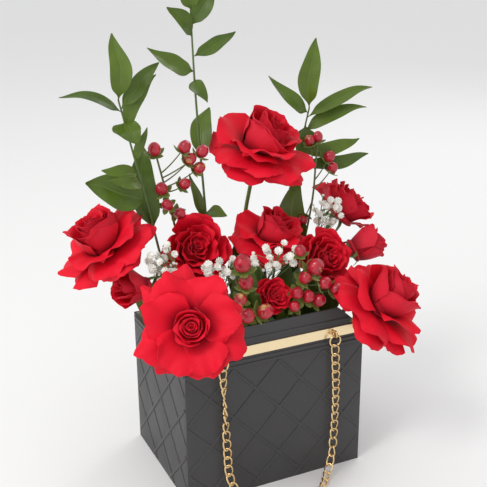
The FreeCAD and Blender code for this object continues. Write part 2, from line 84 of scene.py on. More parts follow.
# whorls from the heart outwards, in mm and degrees: count, length, width, foot radius first and last,
# foot height, lean at the foot and at the tip, extra lean of the lip, back roll of the margins, ruffle;
# each habit starts with the radius of bloom that its whorls are given for
HABITS = {
    "flat": (50, (
        (8, 16, 14, 0.8, 4.4, -2, 0, 2, 26, 0.0, 0.3),
        (6, 18, 24, 5.2, 8.6, -3, 2, 4, 46, 0.3, 0.5),
        (5, 20, 34, 9.6, 13.0, -4, 8, 8, 62, 0.8, 0.9),
        (4, 36, 48, 12.0, 12.0, -6, 50, 80, 20, 3.0, 5.0),
        (5, 40, 52, 12.0, 12.0, -9, 62, 92, 24, 6.0, 6.0),
        (5, 40, 50, 11.0, 11.0, -12, 74, 110, 20, 8.0, 6.5))),
    "skirt": (50, (
        (7, 34, 25, 1.2, 6.4, -3, 0, 1, 24, 0.0, 0.7),
        (5, 37, 46, 8.0, 11.5, -5, 12, 0, 36, 0.8, 1.4),
        (4, 38, 62, 12.5, 15.5, -8, 30, -6, 64, 2.5, 2.2),
        (4, 40, 60, 12.0, 12.0, -8, 48, 70, 34, 6.0, 3.4),
        (6, 45, 60, 12.0, 12.0, -10, 70, 106, 18, 7.0, 3.8),
        (5, 44, 58, 11.0, 11.0, -13, 76, 124, 14, 9.0, 4.0))),
    "half": (28, (
        (9, 22, 14, 0.6, 5.4, -14, 0, 3, 24, 0.0, 1.0),
        (8, 24, 22, 6.0, 10.0, -15, 4, 8, 34, 0.5, 1.6),
        (7, 26, 30, 10.5, 14.5, -17, 12, 16, 44, 1.0, 2.2),
        (6, 28, 40, 15.0, 17.5, -19, 24, 26, 48, 2.5, 2.6),
        (4, 26, 38, 15.0, 16.0, -22, 46, 52, 34, 4.0, 2.6))),
    "bud": (15, (
        (5, 32, 16, 0.8, 3.6, -14, 2, 0, 18, 0.0, 0.9),
        (4, 33, 27, 5.0, 7.5, -15, 16, -8, 24, 0.2, 1.0),
        (4, 31, 38, 9.0, 11.5, -17, 26, -8, 36, 0.8, 1.4))),
}
GOLDEN_ANGLE = 137.5
HEART_WHORLS = 3
PETAL_GRID = (16, 20)
PETAL_THICK = 0.35

# the line of the stem, and each leaf's share of the way up it, tip and width
FOLIAGE = {
    "foliage_left": {
        "stem": ((-52, 14, 112), (-84, 4, 205), (-106, -6, 300), (-118, -8, 350), (-131, -10, 405)),
        "leaves": ((1.0, (-135, -14, 465), 18), (0.97, (-92, -12, 437), 14), (0.90, (-91, -4, 424), 15),
                   (0.96, (-184, -6, 412), 13), (0.93, (-122, -34, 368), 24), (0.80, (-104, -10, 377), 10),
                   (0.76, (-152, -14, 342), 12), (0.72, (-148, -24, 334), 13), (0.66, (-165, -4, 330), 30),
                   (0.55, (-98, 30, 352), 26)),
    },
    "foliage_middle": {
        "stem": ((-20, 30, 112), (-32, 27, 270), (-40, 26, 380), (-43, 25, 440), (-44, 25, 478)),
        "leaves": ((1.0, (-48, 24, 508), 17), (0.93, (-68, 24, 482), 15), (0.96, (-20, 22, 498), 16),
                   (0.84, (-91, 20, 446), 18), (0.88, (2, 24, 456), 14), (0.82, (-36, 6, 392), 16),
                   (0.60, (-14, 58, 376), 20), (0.44, (-20, 0, 276), 13), (0.42, (-52, 18, 320), 10)),
    },
    "foliage_right": {
        "stem": ((36, 32, 112), (64, 34, 262), (77, 30, 317), (88, 26, 372)),
        "leaves": ((1.0, (95, 24, 444), 20), (0.98, (42, 30, 408), 19), (0.96, (161, 20, 390), 15),
                   (0.90, (150, 12, 370), 16), (0.93, (80, 28, 318), 26), (0.82, (146, 18, 336), 14),
                   (0.76, (163, 24, 314), 14)),
    },
}
# foot on the foam, tip, width
LOW_LEAVES = (
    ((-58, 38), (-74, 58, 212), 26), ((-24, 42), (-28, 66, 222), 28), ((34, 42), (44, 66, 214), 28),
    ((62, 40), (88, 56, 206), 26), ((-68, 22), (-112, 34, 204), 26), ((69, 16), (112, 30, 196), 24),
    ((-12, -4), (-16, -14, 222), 24), ((40, -2), (50, -12, 214), 22), ((-38, -42), (-44, -58, 200), 20),
    ((18, -44), (12, -56, 192), 18))
FILLER_LEAVES = (
    ((64, 8), (90, -14, 212), 30), ((68, -6), (104, -24, 196), 26), ((60, 34), (82, 32, 296), 36),
    ((-10, -22), (-8, -32, 234), 26), ((30, -18), (34, -30, 226), 26), ((58, -16), (62, -30, 216), 24),
    ((-40, 10), (-48, 4, 240), 26), ((12, 20), (2, 24, 246), 26))
LOW_LEAF_STALK = 0.35
LEAF_THICK = 0.45
LEAF_STALK = 0.06             # share of a leaf that is stalk
STEM_FOOT = 112
LEAF_FACING = Vector((-0.35, -0.85, 0.55))

# foot and fork of the spray, and the middle and radius of each berry
BERRIES = {
    "berries_back_left": ((-40, 14, 112), (-78, 9, 292),
                          (((-97, -6, 355), 5.6), ((-66, -6, 354), 5.4), ((-60, -5, 341), 5.2),
                           ((-47, -4, 347), 5.4), ((-51, -5, 331), 5.2), ((-67, -6, 317), 5.0),
                           ((-90, -2, 314), 5.6), ((-86, -6, 298), 5.2), ((-72, -2, 286), 5.4))),
    "berries_back_right": ((54, 14, 112), (88, 14, 276),
                           (((81, 12, 341), 4.8), ((91, 12, 344), 4.8), ((106, 12, 321), 5.4),
                            ((110, 12, 308), 5.2), ((74, 11, 254), 5.0))),
    "berries_front_left": ((-22, -36, 112), (-26, -52, 184),
                           (((-34, -66, 249), 7.6), ((-31, -68, 230), 6.4), ((-38, -70, 214), 5.6),
                            ((-32, -72, 196), 6.8), ((-12, -72, 197), 7.0))),
    "berries_front_right": ((28, -36, 112), (34, -54, 186),
                            (((20, -72, 196), 5.2), ((24, -70, 209), 5.6), ((37, -70, 203), 5.8),
                             ((49, -71, 197), 6.0), ((47, -66, 232), 7.4), ((35, -66, 222), 5.6),
                             ((56, -70, 214), 5.6), ((30, -64, 251), 5.0), ((67, -74, 207), 5.4))),
}
# foot and fork of the spray, middle and half size of its cloud, count of florets
GYPSOPHILA = {
    "gypsophila_left": ((-56, -20, 112), (-84, -36, 215), (-108, -48, 254), (18, 12, 21), 26),
    "gypsophila_middle_left": ((-34, -18, 112), (-46, -40, 205), (-46, -58, 244), (31, 8, 12), 26),
    "gypsophila_middle": ((10, -16, 112), (6, -34, 205), (8, -54, 244), (34, 9, 15), 24),
    "gypsophila_right": ((50, 0, 112), (82, -4, 225), (95, -7, 268), (20, 10, 22), 28),
}
GOLDEN_TURN = math.pi * (3 - math.sqrt(5))
SEPALS = 5
CANE_RADIUS, BRANCH_RADIUS, STALK_RADIUS = 2.3, 1.5, 1.3
BERRY_TWIG_RADII, FLORET_TWIG_RADII = (1.3, 0.75), (0.8, 0.35)    # the leading twig and the side ones
BERRY_SWELL = 1.12
SMALL_BLOOM = 20              # blooms under this radius have a smaller cup and sepals
ROSE_SEED, STEM_SEED, BRANCH_SEED, LOW_LEAF_SEED, BERRY_SEED, FLORET_SEED = 100, 300, 500, 520, 700, 900

# ---- card box, in millimetres -----------------------------------------------------------------------
WIDTH, DEPTH, WALL_HEIGHT, BOARD = 200.0, 150.0, 155.0, 1.8
RIM_HEIGHT, RIM_SHOULDER, RIM_HALF_TOP, RIM_HALF_FOOT = 186.0, 168.0, 70.0, 90.0
SIDE_DIP, SIDE_DIP_RUN = 6.4, 16.0
QUILT_PITCH_X, QUILT_PITCH_Z = 51.0, 53.6
QUILT_NODE = (2.0, 88.5)
QUILT_TOP = 143.0
BORDER_HEIGHTS = (145.0, 150.0)
RIM_RIDGE_HEIGHT, RIM_RIDGE_HALF = 172.3, 83.0
BAND_WIDTH, BAND_HEIGHT = 3.2, 0.8
BAND_STEP = 0.04              # the families of bands differ this much in height where they cross
CUSHION = 0.5                 # how far the middle of a diamond swells out
PANEL_CELLS = (110, 100)
FOAM_HALF_X, FOAM_HALF_Y, FOAM_FOOT, FOAM_TOP = 73.2, 48.2, 3.0, 146.0
FOAM_EDGE, FOAM_CRUMB, FOAM_VOXEL = 5.0, 1.6, 1.9

# ---- chain ----------------------------------------------------------------------------------------
CHAIN_ROUTE = ((-63.0, -81.0, 147.0), (-61.5, -81.6, 117.0), (-60.3, -80.9, 84.0), (-59.2, -81.4, 52.0),
               (-58.6, -82.6, 30.0), (-55.5, -89.0, 14.5), (-47.5, -100.5, 5.8), (-34.0, -113.0, 4.7),
               (-16.0, -122.0, 4.7), (3.0, -125.0, 4.7), (21.0, -120.5, 4.7), (36.0, -110.0, 4.7),
               (47.0, -97.0, 5.4), (55.5, -88.5, 10.5), (61.5, -83.5, 22.0), (64.0, -81.8, 40.0),
               (65.6, -81.0, 75.0), (65.2, -81.6, 111.0), (63.0, -81.0, 147.0))
LINK_PITCH = 9.9
LINK_WIDTH = 9.4
LINK_WIRE = 1.95
LINK_TWIST = 27
CHAIN_SWAY = (14, 21)         # slow roll of the links: degrees, waves in radians over the whole chain
# where the links turn edge-on: degrees, place, reach
CHAIN_TURNS = ((70, 0.105, 0.055), (65, 0.70, 0.03))
CHAIN_FACING = Vector((0.0, -1.0, 0.35))
LINK_SQUARENESS = 2.6         # 2 is an ellipse, and more is squarer

# ---- view -----------------------------------------------------------------------------------------
# the rounded result of a perspective fit of the box's edges, in millimetres and degrees
CAMERA_PLACE = (-371.6, -791.3, 554.4)
CAMERA_YAW, CAMERA_PITCH, CAMERA_ROLL = 25.05, 19.63, -0.43
CAMERA_LENS = 66.1
SENSOR_WIDTH = 36
FLOOR_SIDE = 60
FLOOR_SPECK = (0.87, 0.87, 0.88)


# ---- shader expressions ---------------------------------------------------------------------------
class Val:
    """A socket that takes part in sums, so that a finish reads as a formula."""

    def __init__(self, finish, socket):
        self.finish = finish
        self.socket = socket

    def _math(self, operation, a, b=None):
        values = {i: v for i, v in enumerate((a, b)) if v is not None}
        return self.finish.node("ShaderNodeMath", {"operation": operation}, values)["Value"]

    def __add__(self, other):
        return self._math("ADD", self, other)

    __radd__ = __add__

    def __mul__(self, other):
        return self._math("MULTIPLY", self, other)

    __rmul__ = __mul__

    def __sub__(self, other):
        return self._math("SUBTRACT", self, other)

    def __rsub__(self, other):
        return self._math("SUBTRACT", other, self)

    def __truediv__(self, other):
        return self._math("DIVIDE", self, other)

    def __rtruediv__(self, other):
        return self._math("DIVIDE", other, self)

    def sine(self):
        return self._math("SINE", self)

    def size(self):
        return self._math("ABSOLUTE", self)


class Finish:
    """A material whose nodes are made one by one, each from its type, settings and inputs."""

    def __init__(self, name):
        self.material = bpy.data.materials.new(name)
        self.material.use_nodes = True
        self.tree = self.material.node_tree
        self.tree.nodes.clear()

    def node(self, kind, settings=None, values=None):
        """A new node; sums feed its sockets as links and plain values as constants."""
        made = self.tree.nodes.new(kind)
        for key, value in (settings or {}).items():
            setattr(made, key, value)
        for key, value in (values or {}).items():
            socket = made.inputs[key]
            if isinstance(value, Val):
                self.tree.links.new(value.socket, socket)
            else:
                socket.default_value = (*value, 1.0) if socket.type == "RGBA" else value
        return {o.name: Val(self, o) for o in made.outputs if o.enabled}

    def place(self):
        return self.node("ShaderNodeTexCoord")["Object"]

    def uv(self):
        """Across and along, from the piece's own UV map."""
        coordinates = self.node("ShaderNodeUVMap", {"uv_map": "UVMap"})["UV"]
        both = self.node("ShaderNodeSeparateXYZ", {}, {0: coordinates})
        return both["X"], both["Y"]

    def attribute(self, name):
        return self.node("ShaderNodeAttribute", {"attribute_name": name})["Fac"]

    def stretched(self, vector, scale):
        return self.node("ShaderNodeMapping", {}, {"Vector": vector, "Scale": scale})["Vector"]

    def noise(self, vector, scale, detail=2.0, rough=0.5):
        values = {"Vector": vector, "Scale": scale, "Detail": detail, "Roughness": rough}
        made = self.node("ShaderNodeTexNoise", {}, values)
        return made.get("Fac") or made["Factor"]

    def cells(self, vector, scale, feature="F1"):
        made = self.node("ShaderNodeTexVoronoi", {"feature": feature}, {"Vector": vector, "Scale": scale})
        return made["Distance"]

    def mix(self, share, a, b):
        """Two colours mixed: on a colour Mix, socket 0 is the factor, and 6 and 7 are the colours."""
        settings = {"data_type": "RGBA", "clamp_factor": True}
        return self.node("ShaderNodeMix", settings, {0: share, 6: a, 7: b})["Result"]

    def span(self, value, low, high, to_low=0.0, to_high=1.0):
        values = {"Value": value, "From Min": low, "From Max": high, "To Min": to_low, "To Max": to_high}
        return self.node("ShaderNodeMapRange", {"interpolation_type": "SMOOTHSTEP"}, values)["Result"]

    def bump(self, height, distance):
        return self.node("ShaderNodeBump", {}, {"Height": height, "Distance": distance})["Normal"]

    def surface(self, **values):
        """The shader and the output: base_color feeds the socket Base Color, and so on."""
        named = {key.replace("_", " ").title().replace("Ior", "IOR"): value for key, value in values.items()}
        shader = self.node("ShaderNodeBsdfPrincipled", {}, named)["BSDF"]
        self.node("ShaderNodeOutputMaterial", {}, {"Surface": shader})
        return self.material


def shaded(colour, share):
    """A darker or lighter tone of a colour."""
    return tuple(min(1.0, c * share) for c in colour)


def card_finish(name, colour, light):
    """Black laminated card: a fine tooth, broad clouding and a few scuffs."""
    f = Finish(name)
    place = f.place()
    tooth = f.noise(place, 2600, 3, 0.6)
    cloud = f.noise(place, 14, 3)
    dust = f.noise(place, 320, 4, 0.7)
    scuff = f.span(f.noise(f.stretched(place, (60, 60, 220)), 9, 4, 0.7), 0.62, 0.80)
    tone = f.mix(cloud * 0.7 + dust * 0.3, colour, light)
    tone = f.mix(scuff * 0.25, tone, shaded(light, 1.8))
    return f.surface(base_color=tone, roughness=f.span(cloud, 0.2, 0.8, 0.40, 0.52) + tooth * 0.06,
                     normal=f.bump(tooth + dust * 0.5, 0.00008), specular_ior_level=0.5)


def lining_finish(name, colour):
    """Uncoated inside of the card: pale board with fibres."""
    f = Finish(name)
    place = f.place()
    fibre = f.noise(f.stretched(place, (300, 300, 900)), 1.4, 4, 0.7)
    cloud = f.noise(place, 25, 3)
    tone = f.mix(fibre * 0.6 + cloud * 0.3, colour, shaded(colour, 0.78))
    return f.surface(base_color=tone, roughness=0.75 + fibre * 0.15, normal=f.bump(fibre, 0.0001))


def gold_finish(name, colour, deep, brushed):
    """Pale gold plate: brushed along X on the bar, polished on the chain."""
    f = Finish(name)
    place = f.place()
    scale = (12, 900, 900) if brushed else (120, 120, 120)
    grain = f.noise(f.stretched(place, scale), 3 if brushed else 6, 3, 0.6)
    tarnish = f.span(f.noise(place, 90, 3), 0.45, 0.75)
    tone = f.mix(tarnish * (0.12 if brushed else 0.5), colour, deep)
    rough = (0.22 if brushed else 0.14) + grain * 0.14
    return f.surface(base_color=tone, metallic=1.0, roughness=rough, normal=f.bump(grain, 0.00002))


def petal_finish(name, heart, face, edge, back_side):
    """Velvet petal: painted shade at the claw, deep in the bloom, bright over the blade, with fine branching
    veins.
    """
    f = Finish(name)
    across, along = f.uv()
    place = f.place()
    tone = f.attribute("tone")
    fan = (across - 0.5) / (0.25 + along)
    branching = f.node("ShaderNodeCombineXYZ", {}, {0: fan * 26, 1: along * 1.6, 2: tone * 9})["Vector"]
    veins = f.noise(branching, 1.0, 3, 0.6)
    velvet = f.noise(place, 900, 2)
    cloud = f.noise(place, 55, 3)
    # darker towards the claw: painted shade deep in the bloom, in the heart colour
    colour = f.mix(f.span(along, 0.0, 0.55), heart, face)
    colour = f.mix(f.span(veins, 0.45, 0.75) * 0.10, colour, heart)
    rim = f.span(along, 0.90, 1.0) * 0.55
    colour = f.mix(rim + cloud * 0.12, colour, edge)
    # a higher tone darkens the petal: painted shade on the inner whorls and the core, plus a random
    # difference between petals
    colour = f.mix(tone * 0.35, colour, shaded(face, 0.55))
    rough = 0.52 + velvet * 0.2
    relief = f.bump(veins * 0.7 + velvet * 0.3, 0.0004 if back_side else 0.00025)
    return f.surface(base_color=colour, roughness=rough, normal=relief,
                     sheen_weight=0.10 if back_side else 0.0, sheen_roughness=0.5,
                     sheen_tint=(1.0, 0.2, 0.25), specular_ior_level=0.2)


def leaf_finish(name, dark, light, rib):
    """Waxy leaf with long veins that run side by side to the tip."""
    f = Finish(name)
    across, _ = f.uv()
    place = f.place()
    tone = f.attribute("tone")
    spread = (across - 0.5).size() * 2.0
    lines = ((spread * 46).sine() * 0.5 + 0.5) * f.noise(place, 260, 2)
    blotch = f.noise(place, 60, 3)
    colour = f.mix(blotch * 0.7 + tone * 0.5, dark, light)
    midrib = 1 - f.span(spread, 0.0, 0.07)
    colour = f.mix(midrib * 0.35 + lines * 0.25, colour, rib)
    height = lines * 0.5 + midrib * 0.6
    return f.surface(base_color=colour, roughness=0.24 + blotch * 0.2, normal=f.bump(height, 0.00030),
                     specular_ior_level=0.35)


def stem_finish(name, green, brown):
    """Smooth green stem with brown flecks and long ribs."""
    f = Finish(name)
    place = f.place()
    fleck = f.span(f.noise(place, 140, 4, 0.7), 0.52, 0.72)
    ribs = f.noise(f.stretched(place, (700, 700, 30)), 1.0, 3)
    colour = f.mix(fleck * 0.6, green, brown)
    return f.surface(base_color=colour, roughness=0.42 + ribs * 0.2, normal=f.bump(ribs, 0.00025))


def berry_finish(name, ripe, pale, dark):
    """Shiny berry, paler where it was shaded, with tiny pores."""
    f = Finish(name)
    place = f.place()
    tone = f.attribute("tone")
    cloud = f.noise(place, 110, 3, 0.6)
    pores = f.cells(place, 1400)
    colour = f.mix(f.span(cloud, 0.35, 0.7), ripe, dark)
    colour = f.mix(f.span(tone * 0.55 + cloud, 1.0, 1.2), colour, pale)
    return f.surface(base_color=colour, roughness=0.22 + cloud * 0.16, normal=f.bump(pores, 0.00006),
                     coat_weight=0.35, coat_roughness=0.2)


def floret_finish(name, white, cream):
    """Soft white petals of gypsophila."""
    f = Finish(name)
    place = f.place()
    cloud = f.noise(place, 420, 3)
    colour = f.mix(f.span(cloud, 0.3, 0.75), white, cream)
    return f.surface(base_color=colour, roughness=0.6 + cloud * 0.2, normal=f.bump(cloud, 0.0002),
                     sheen_weight=0.2)


def foam_finish(name, green, dark):
    """Wet floral foam: fine open cells with painted shade in their hollows, and darker soaked patches."""
    f = Finish(name)
    place = f.place()
    pores = f.cells(place, 620)
    crumbs = f.noise(place, 380, 4, 0.7)
    soaked = f.noise(place, 22, 3)
    colour = f.mix(f.span(soaked, 0.35, 0.65), green, dark)
    # darker in the middle of each open cell: painted shade in the pores
    colour = f.mix((1 - f.span(pores, 0.05, 0.5)) * 0.45, colour, shaded(dark, 0.4))
    return f.surface(base_color=colour, roughness=0.75 + crumbs * 0.2,
                     normal=f.bump(pores + crumbs * 0.6, 0.0008))


def tray_finish(name, colour):
    """Vacuum-formed plastic with a faint haze and scratches."""
    f = Finish(name)
    place = f.place()
    haze = f.noise(place, 45, 3)
    scratch = f.span(f.noise(f.stretched(place, (30, 30, 700)), 2, 3), 0.62, 0.7)
    tone = f.mix(haze * 0.5 + scratch * 0.3, colour, tuple(min(1.0, c * 2.2 + 0.02) for c in colour))
    return f.surface(base_color=tone, roughness=0.34 + haze * 0.18, normal=f.bump(scratch, 0.00004))


# ---- modelling helpers ----------------------------------------------------------------------------
def clear_selection():
    """Nothing selected, so that an operator acts on the new piece alone."""
    if bpy.context.object and bpy.context.object.mode != "OBJECT":
        bpy.ops.object.mode_set(mode="OBJECT")
    bpy.ops.object.select_all(action="DESELECT")


def pick(*objects):
    """Selects these objects and makes the first one active."""
    clear_selection()
    for o in objects:
        o.select_set(True)
    bpy.context.view_layer.objects.active = objects[0]


def joined(objects, name):
    """The objects as one piece."""
    pick(*objects)
    if len(objects) > 1:
        bpy.ops.object.join()
    made = bpy.context.object
    made.name = name
    made.data.name = name
    return made


def modify(obj, kind, **settings):
    """Adds a modifier and applies it."""
    pick(obj)
    modifier = obj.modifiers.new(kind.title(), kind)
    for key, value in settings.items():
        setattr(modifier, key, value)
    bpy.ops.object.modifier_apply(modifier=modifier.name)


def smooth(obj, angle=40):
    """Smooth shading with creases kept."""
    pick(obj)
    bpy.ops.object.shade_smooth_by_angle(angle=math.radians(angle))


def points_of(mesh):
    """The places of a mesh's vertices, one row each."""
    co = np.zeros(len(mesh.vertices) * 3)
    mesh.vertices.foreach_get("co", co)
    return co.reshape(-1, 3)


def set_points(mesh, points):
    """Moves a mesh's vertices to these places."""
    mesh.vertices.foreach_set("co", np.asarray(points, float).ravel())
    mesh.update()


def set_tone(mesh, value):
    """One number for the whole leaf or petal, which its finish reads."""
    layer = mesh.attributes.get("tone") or mesh.attributes.new("tone", "FLOAT", "POINT")
    layer.data.foreach_set("value", [value] * len(mesh.vertices))


def grid_template(name, across, along):
    """A flat grid from -1 to 1 with a UV map, to be shaped into petals or leaves."""
    clear_selection()
    bpy.ops.mesh.primitive_grid_add(x_subdivisions=across, y_subdivisions=along, size=2, calc_uvs=True)
    made = bpy.context.object
    made.name = name
    return made


def copy_of(template, name):
    """A copy with its own mesh."""
    made = bpy.data.objects.new(name, template.data.copy())
    bpy.context.scene.collection.objects.link(made)
    return made


def drop(obj):
    """Removes a template."""
    bpy.data.objects.remove(obj, do_unlink=True)


def axis_frame(axis, turn):
    """Rotation that carries +Z to an axis, after a turn about +Z in degrees."""
    return Vector(axis).to_track_quat("Z", "Y").to_matrix() @ Matrix.Rotation(math.radians(turn), 3, "Z")


def set_round(out, side, up, angle):
    """Places of a blade that runs outwards from +Z, set at an angle round it."""
    x = out * math.cos(angle) - side * math.sin(angle)
    y = out * math.sin(angle) + side * math.cos(angle)
    return np.stack([x, y, up], 1)


def tube(name, points, radius, taper=None, resolution=10):
    """A round twig or stem as a mesh, through points in metres."""
    curve = bpy.data.curves.new(name, "CURVE")
    curve.dimensions = "3D"
    curve.bevel_depth = 1.0
    curve.bevel_resolution = 3
    curve.use_fill_caps = True
    curve.resolution_u = resolution
    spline = curve.splines.new("NURBS")
    spline.points.add(len(points) - 1)
    for k, (slot, place) in enumerate(zip(spline.points, points)):
        slot.co = (*place, 1.0)
        share = k / (len(points) - 1)
        slot.radius = radius * (1.0 if taper is None else 1 + (taper - 1) * share)
    spline.order_u = 3
    spline.use_endpoint_u = True
    made = bpy.data.objects.new(name, curve)
    bpy.context.scene.collection.objects.link(made)
    pick(made)
    bpy.ops.object.convert(target="MESH")
    return bpy.context.object


def along_line(points, share):
    """The point at a share of a broken line's length."""
    points = [Vector(p) for p in points]
    lengths = [(b - a).length for a, b in zip(points, points[1:])]
    left = share * sum(lengths)
    for a, b, length in zip(points, points[1:], lengths):
        if left <= length:
            return a + (b - a) * (left / length)
        left -= length
    return points[-1]


def paint(obj, *finishes, index=0):
    """Gives a CAD node or a piece these finishes, with all its faces on one of them."""
    obj.data.materials.clear()
    for finish in finishes:
        obj.data.materials.append(finish)
    if index:
        obj.data.polygons.foreach_set("material_index", [index] * len(obj.data.polygons))


def settle(obj, body, node):
    """The piece rides on its body and stands for its CAD node, which it hides."""
    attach(obj, body)
    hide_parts(node)


# ---- roses ----------------------------------------------------------------------------------------
def petal_points(flat, length, width, foot_radius, foot_height, lean0, lean1, lip, roll, ruffle, turn, rng):
    """Places of a petal's vertices: the blade climbs and leans out, wraps the heart and rolls back."""
    u, v = flat[:, 0], (flat[:, 1] + 1) / 2
    tip = rng.uniform(0.0, 0.09) * np.exp(-((u - rng.uniform(-0.2, 0.2)) / 0.25) ** 2)
    cut = 0.012 * np.sin(u * 19 + rng.uniform(0, 6)) + 0.02 * np.sin(u * 7 + rng.uniform(0, 6))
    reach = v * (1 - 0.30 * np.abs(u) ** 2.4 + tip + cut * v ** 4)
    steps = np.linspace(0, 1.2, 97)
    lean = np.radians(lean0 + (lean1 - lean0) * np.clip(steps, 0, 1) ** 1.25)
    lean = lean + np.radians(lip) * np.clip((steps - 0.78) / 0.22, 0, 1.3) ** 1.6
    gap = steps[1] - steps[0]
    out = foot_radius + length * np.concatenate(([0], np.cumsum(np.sin(lean[1:]) * gap)))
    up = foot_height + length * np.concatenate(([0], np.cumsum(np.cos(lean[1:]) * gap)))
    radius, height = np.interp(reach, steps, out), np.interp(reach, steps, up)
    tilt = np.interp(reach, steps, lean)
    wide = width / 2 * (0.45 + 0.55 * np.clip(reach / 0.62, 0, 1) ** 0.8)
    spiral = 1 + 0.10 * u
    ring = np.maximum(radius, width * 0.24)
    angle = u * wide / ring
    radius = radius * spiral
    back = roll * np.abs(u) ** 3 * v ** 2
    phase = rng.uniform(0, 6.28)
    wave = ruffle * v ** 3 * (np.sin(u * rng.uniform(3.5, 5.5) + phase) + 0.4 * np.sin(u * 11 + phase * 2))
    slant = rng.uniform(0.2, 1.1) * np.abs(u - rng.uniform(-0.5, 0.5)) + rng.uniform(-0.5, 0.5) * u
    fold = ruffle * slant * v ** 2
    crease = 0.02 * length * np.exp(-(u / 0.16) ** 2) * v
    lift = wave - back - fold + crease
    radius = radius - lift * np.cos(tilt)
    height = height + lift * np.sin(tilt)
    place = math.radians(turn) + angle
    return np.stack([radius * np.cos(place), radius * np.sin(place), height], 1)


def bloom_core(name, origin, spin, girth, low, high, scale):
    """The closed middle of a bloom, which fills the space inside its whorls."""
    clear_selection()
    bpy.ops.mesh.primitive_uv_sphere_add(segments=24, ring_count=16, radius=1, calc_uvs=True)
    core = bpy.context.object
    core.name = name + "_core"
    points = points_of(core.data)
    z = points[:, 2]
    radius = girth * (0.95 - 0.5 * z)
    height = (low + high) / 2 + z * (high - low) / 2
    points = np.stack([points[:, 0] * radius, points[:, 1] * radius, height], 1)
    set_points(core.data, origin + (points * scale * MILLI) @ spin.T)
    # the highest tone: the core is painted as the darkest red, as painted shade deep in the bloom
    set_tone(core.data, 1.0)
    return core


def rose_bloom(name, template, data, seed, finishes):
    """One bloom: whorls of petals from a tight spiral heart to the outer skirt."""
    centre, axis, radius, habit, _, _, turn = data
    rng = random.Random(seed)
    base, whorls = HABITS[habit]
    scale = radius / base
    flat = points_of(template.data)
    skirt_spin = np.array(axis_frame(axis, turn))
    heart_spin = np.array(axis_frame(HEARTS.get(name.removeprefix("bloom_"), axis), turn))
    origin = np.array(mm(*centre))
    hip = whorls[min(HEART_WHORLS, len(whorls) - 1)]
    petals = [bloom_core(name, origin, heart_spin, whorls[HEART_WHORLS - 1][4], whorls[-1][5],
                         whorls[0][5] + whorls[0][1] * 0.7, scale),
              bloom_core(name, origin, skirt_spin, hip[4] * 1.1, whorls[-1][5] - 3, hip[5] + 7, scale)]
    start = rng.uniform(0, 360)
    for level, whorl in enumerate(whorls):
        count, length, width, foot0, foot1, foot_height, lean0, lean1, lip, roll, ruffle = whorl
        start += rng.uniform(20, 60)
        for k in range(count):
            share = k / max(1, count - 1)
            angle = start + GOLDEN_ANGLE * k + rng.uniform(-8, 8)
            points = petal_points(flat, length * rng.uniform(0.94, 1.06), width * rng.uniform(0.92, 1.06),
                                  foot0 + (foot1 - foot0) * share, foot_height - level * 0.2,
                                  lean0 + rng.uniform(-3, 3), lean1 + rng.uniform(-7, 7),
                                  lip * rng.uniform(0.7, 1.2), roll * rng.uniform(0.6, 1.2),
                                  ruffle, angle, rng)
            spin = heart_spin if level < HEART_WHORLS else skirt_spin
            petal = copy_of(template, "%s_petal" % name)
            set_points(petal.data, origin + (points * scale * MILLI) @ spin.T)
            # the inner whorls get a higher tone, which their finish paints as shade in the heart of the
            # bloom; the rest is random
            set_tone(petal.data, rng.uniform(0, 0.4) + (0.5 if level < 1 else 0.25 if level < 2 else 0))
            petals.append(petal)
    bloom = joined(petals[::-1], name)
    paint(bloom, *finishes)
    modify(bloom, "SOLIDIFY", thickness=PETAL_THICK * MILLI, offset=0.0,
           material_offset=1, material_offset_rim=0)
    smooth(bloom, 60)
    return bloom


def rose_stem(name, template, data, seed, finish):
    """Green stem with the swelling under the bloom and five sepals bent back from it."""
    centre, axis, radius, habit, knee, foot, turn = data
    rng = random.Random(seed)
    reach = {"flat": 0.50, "skirt": 0.50, "half": 0.90, "bud": 1.15}[habit]
    base = mm(*centre) + Vector(axis).normalized() * (-reach * radius * MILLI)
    foot_place = mm(*foot, STEM_FOOT)
    knee_place = mm(*knee)
    parts = [tube(name + "_cane", [foot_place, foot_place.lerp(knee_place, 0.6), knee_place,
                                   knee_place.lerp(base, 0.6), base], CANE_RADIUS * MILLI, 0.9)]
    clear_selection()
    bpy.ops.mesh.primitive_uv_sphere_add(segments=20, ring_count=12, radius=1)
    cup = bpy.context.object
    spin = axis_frame(axis, turn)
    size = Vector((5.2, 5.2, 6.0)) * MILLI * (0.75 if radius < SMALL_BLOOM else 1.0)
    points = points_of(cup.data) * np.array(size)
    points[:, 2] += np.where(points[:, 2] > 0, -0.3, 0.0) * points[:, 2]
    set_points(cup.data, np.array(base) + points @ np.array(spin).T)
    parts.append(cup)
    flat = points_of(template.data)
    u, v = flat[:, 0], (flat[:, 1] + 1) / 2
    for k in range(SEPALS):
        long, wide = rng.uniform(18, 24), rng.uniform(5, 6.5)
        if radius < SMALL_BLOOM:
            long, wide = long * 0.8, wide * 0.8
        lean = np.radians(70 + rng.uniform(-15, 25) + 60 * v)
        out = 4.0 + long * v * np.sin(lean) * 0.9
        up = 2.0 + long * v * np.cos(lean)
        side = u * wide / 2 * np.sin(np.pi * np.clip(0.14 + 0.86 * v, 0, 1)) ** 0.8
        angle = math.radians(72 * k + rng.uniform(-8, 8))
        sepal = copy_of(template, name + "_sepal")
        points = set_round(out, side, up, angle) * MILLI
        set_points(sepal.data, np.array(base) + points @ np.array(spin).T)
        modify(sepal, "SOLIDIFY", thickness=0.5 * MILLI, offset=0.0)
        parts.append(sepal)
    for part in parts:
        paint(part, finish)
    made = joined(parts, name)
    smooth(made, 50)
    return made


